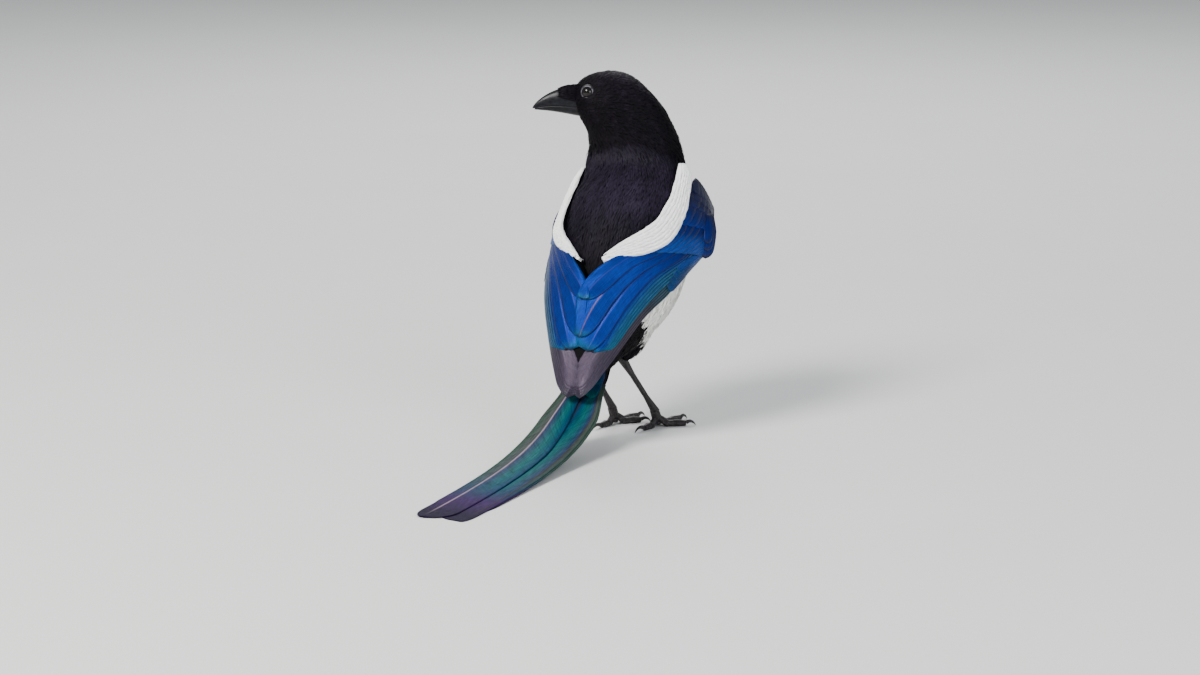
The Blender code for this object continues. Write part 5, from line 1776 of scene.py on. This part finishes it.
# %% Scaly legs
def leg_finish():
    finish = Finish("leg_scales", roughness=0.42, specular_ior_level=0.35)
    tall = finish.stretched(finish.place(), (1.0, 1.0, 0.75))
    to_edge = {"feature": "DISTANCE_TO_EDGE"}
    cells = finish.node("ShaderNodeTexVoronoi", to_edge, {"Vector": tall, "Scale": 430.0})
    grain = finish.noise(finish.place(), 1200.0, 3.0)
    plates = finish.range(cells, 0.0, 0.12)
    tone = finish.mix(plates, rgb(0.022, 0.017, 0.018), rgb(0.007, 0.005, 0.006))
    tone = finish.mix(finish.range(grain, 0.4, 0.8, 0.0, 0.5), tone, rgb(0.030, 0.024, 0.028))
    return finish.surface(base_color=tone, normal=finish.bump(plates + grain * 0.3, 0.6, 0.0003))


leg_scales = leg_finish()
claw_horn = dark_horny_finish("claw_horn", (0.026, 0.022, 0.026), 0.28)
for node_name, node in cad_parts.items():
    if node_name.startswith(("tarsus", "foot")):
        node.data.materials[0] = leg_scales
    if node_name.startswith("claw"):
        node.data.materials[0] = claw_horn
finished = [node.data.materials[0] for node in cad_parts.values()]
print("scaly nodes:", finished.count(leg_scales), "claws:", finished.count(claw_horn))

# %% [markdown]
# ## Camera, floor and light
# The photo was taken from behind the bird, a little to its right and from slightly above. A long lens
# at 2.6 m keeps the bird's proportions as they look there.

# %% Camera
AZIMUTH, ELEVATION = math.radians(23.0), math.radians(10.0)
CAMERA_DISTANCE = 2.6
LOOKED_AT = (0.0, -20.0, 120.0)

camera = scene_object("camera", bpy.data.cameras.new("camera"))
bpy.context.scene.camera = camera
level = math.cos(ELEVATION)
ahead = Vector((-math.sin(AZIMUTH) * level, math.cos(AZIMUTH) * level, -math.sin(ELEVATION)))
camera.location = Vector(to_scene(LOOKED_AT)) - CAMERA_DISTANCE * ahead
camera.rotation_mode = "QUATERNION"
camera.rotation_quaternion = ahead.to_track_quat("-Z", "Y")
camera.data.sensor_width = 36.0
camera.data.lens = 117.0
camera.data.shift_x = -0.0136
camera.data.shift_y = -0.0708
camera.data.clip_start, camera.data.clip_end = 0.05, 50.0
print("the camera stands at", [round(value, 2) for value in camera.location])

# %% [markdown] The floor is a wide plain sheet, off-white and matt, with a hardly visible unevenness.

# %% Floor
FLOOR_SIZE = 6.0

floor_shape = bmesh.new()
bmesh.ops.create_grid(floor_shape, x_segments=1, y_segments=1, size=FLOOR_SIZE)
floor = scene_object("floor", mesh_of("floor", floor_shape))
floor_finish = Finish("studio_floor", roughness=0.8)
mottle = floor_finish.noise(floor_finish.place(), 6.0)
floor_tone = floor_finish.mix(mottle, rgb(0.66, 0.66, 0.65), rgb(0.69, 0.69, 0.68))
floor.data.materials.append(floor_finish.surface(base_color=floor_tone))
print("the floor is", [round(length, 1) for length in floor.dimensions[:2]], "m")

# %% [markdown]
# Three large round lamps light the bird softly: a warm key light from the camera's left, a weak cool fill
# from its right, and one from the far side for the edges of the feathers. The world's pale grey does the
# rest.

# %% Lights
LIT_PLACE = Vector((0.0, 0.0, 0.12))


def soft_light(name, place, size, power, colour=(1.0, 1.0, 1.0)):
    data = bpy.data.lights.new(name, "AREA")
    data.shape = "DISK"
    data.size, data.energy, data.color = size, power, colour
    light = scene_object(name, data)
    light.location = place
    light.rotation_mode = "QUATERNION"
    light.rotation_quaternion = (LIT_PLACE - light.location).to_track_quat("-Z", "Y")
    print(name, "light,", power, "W")


soft_light("key", Vector((-0.7, -1.5, 1.7)), 0.9, 88.0, (1.0, 0.98, 0.95))
soft_light("fill", Vector((1.8, -1.0, 0.9)), 1.4, 25.0, (0.93, 0.96, 1.0))
soft_light("back", Vector((-0.6, 1.8, 1.5)), 1.2, 30.0)
world = bpy.data.worlds.new("studio")
bpy.context.scene.world = world
world.use_nodes = True
world.node_tree.nodes["Background"].inputs["Color"].default_value = rgb(0.80, 0.84, 0.88)
world.node_tree.nodes["Background"].inputs["Strength"].default_value = 0.55

# %% [markdown]
# The dressed bird has to stay in the solid bird's box, apart from a few millimetres of feather.
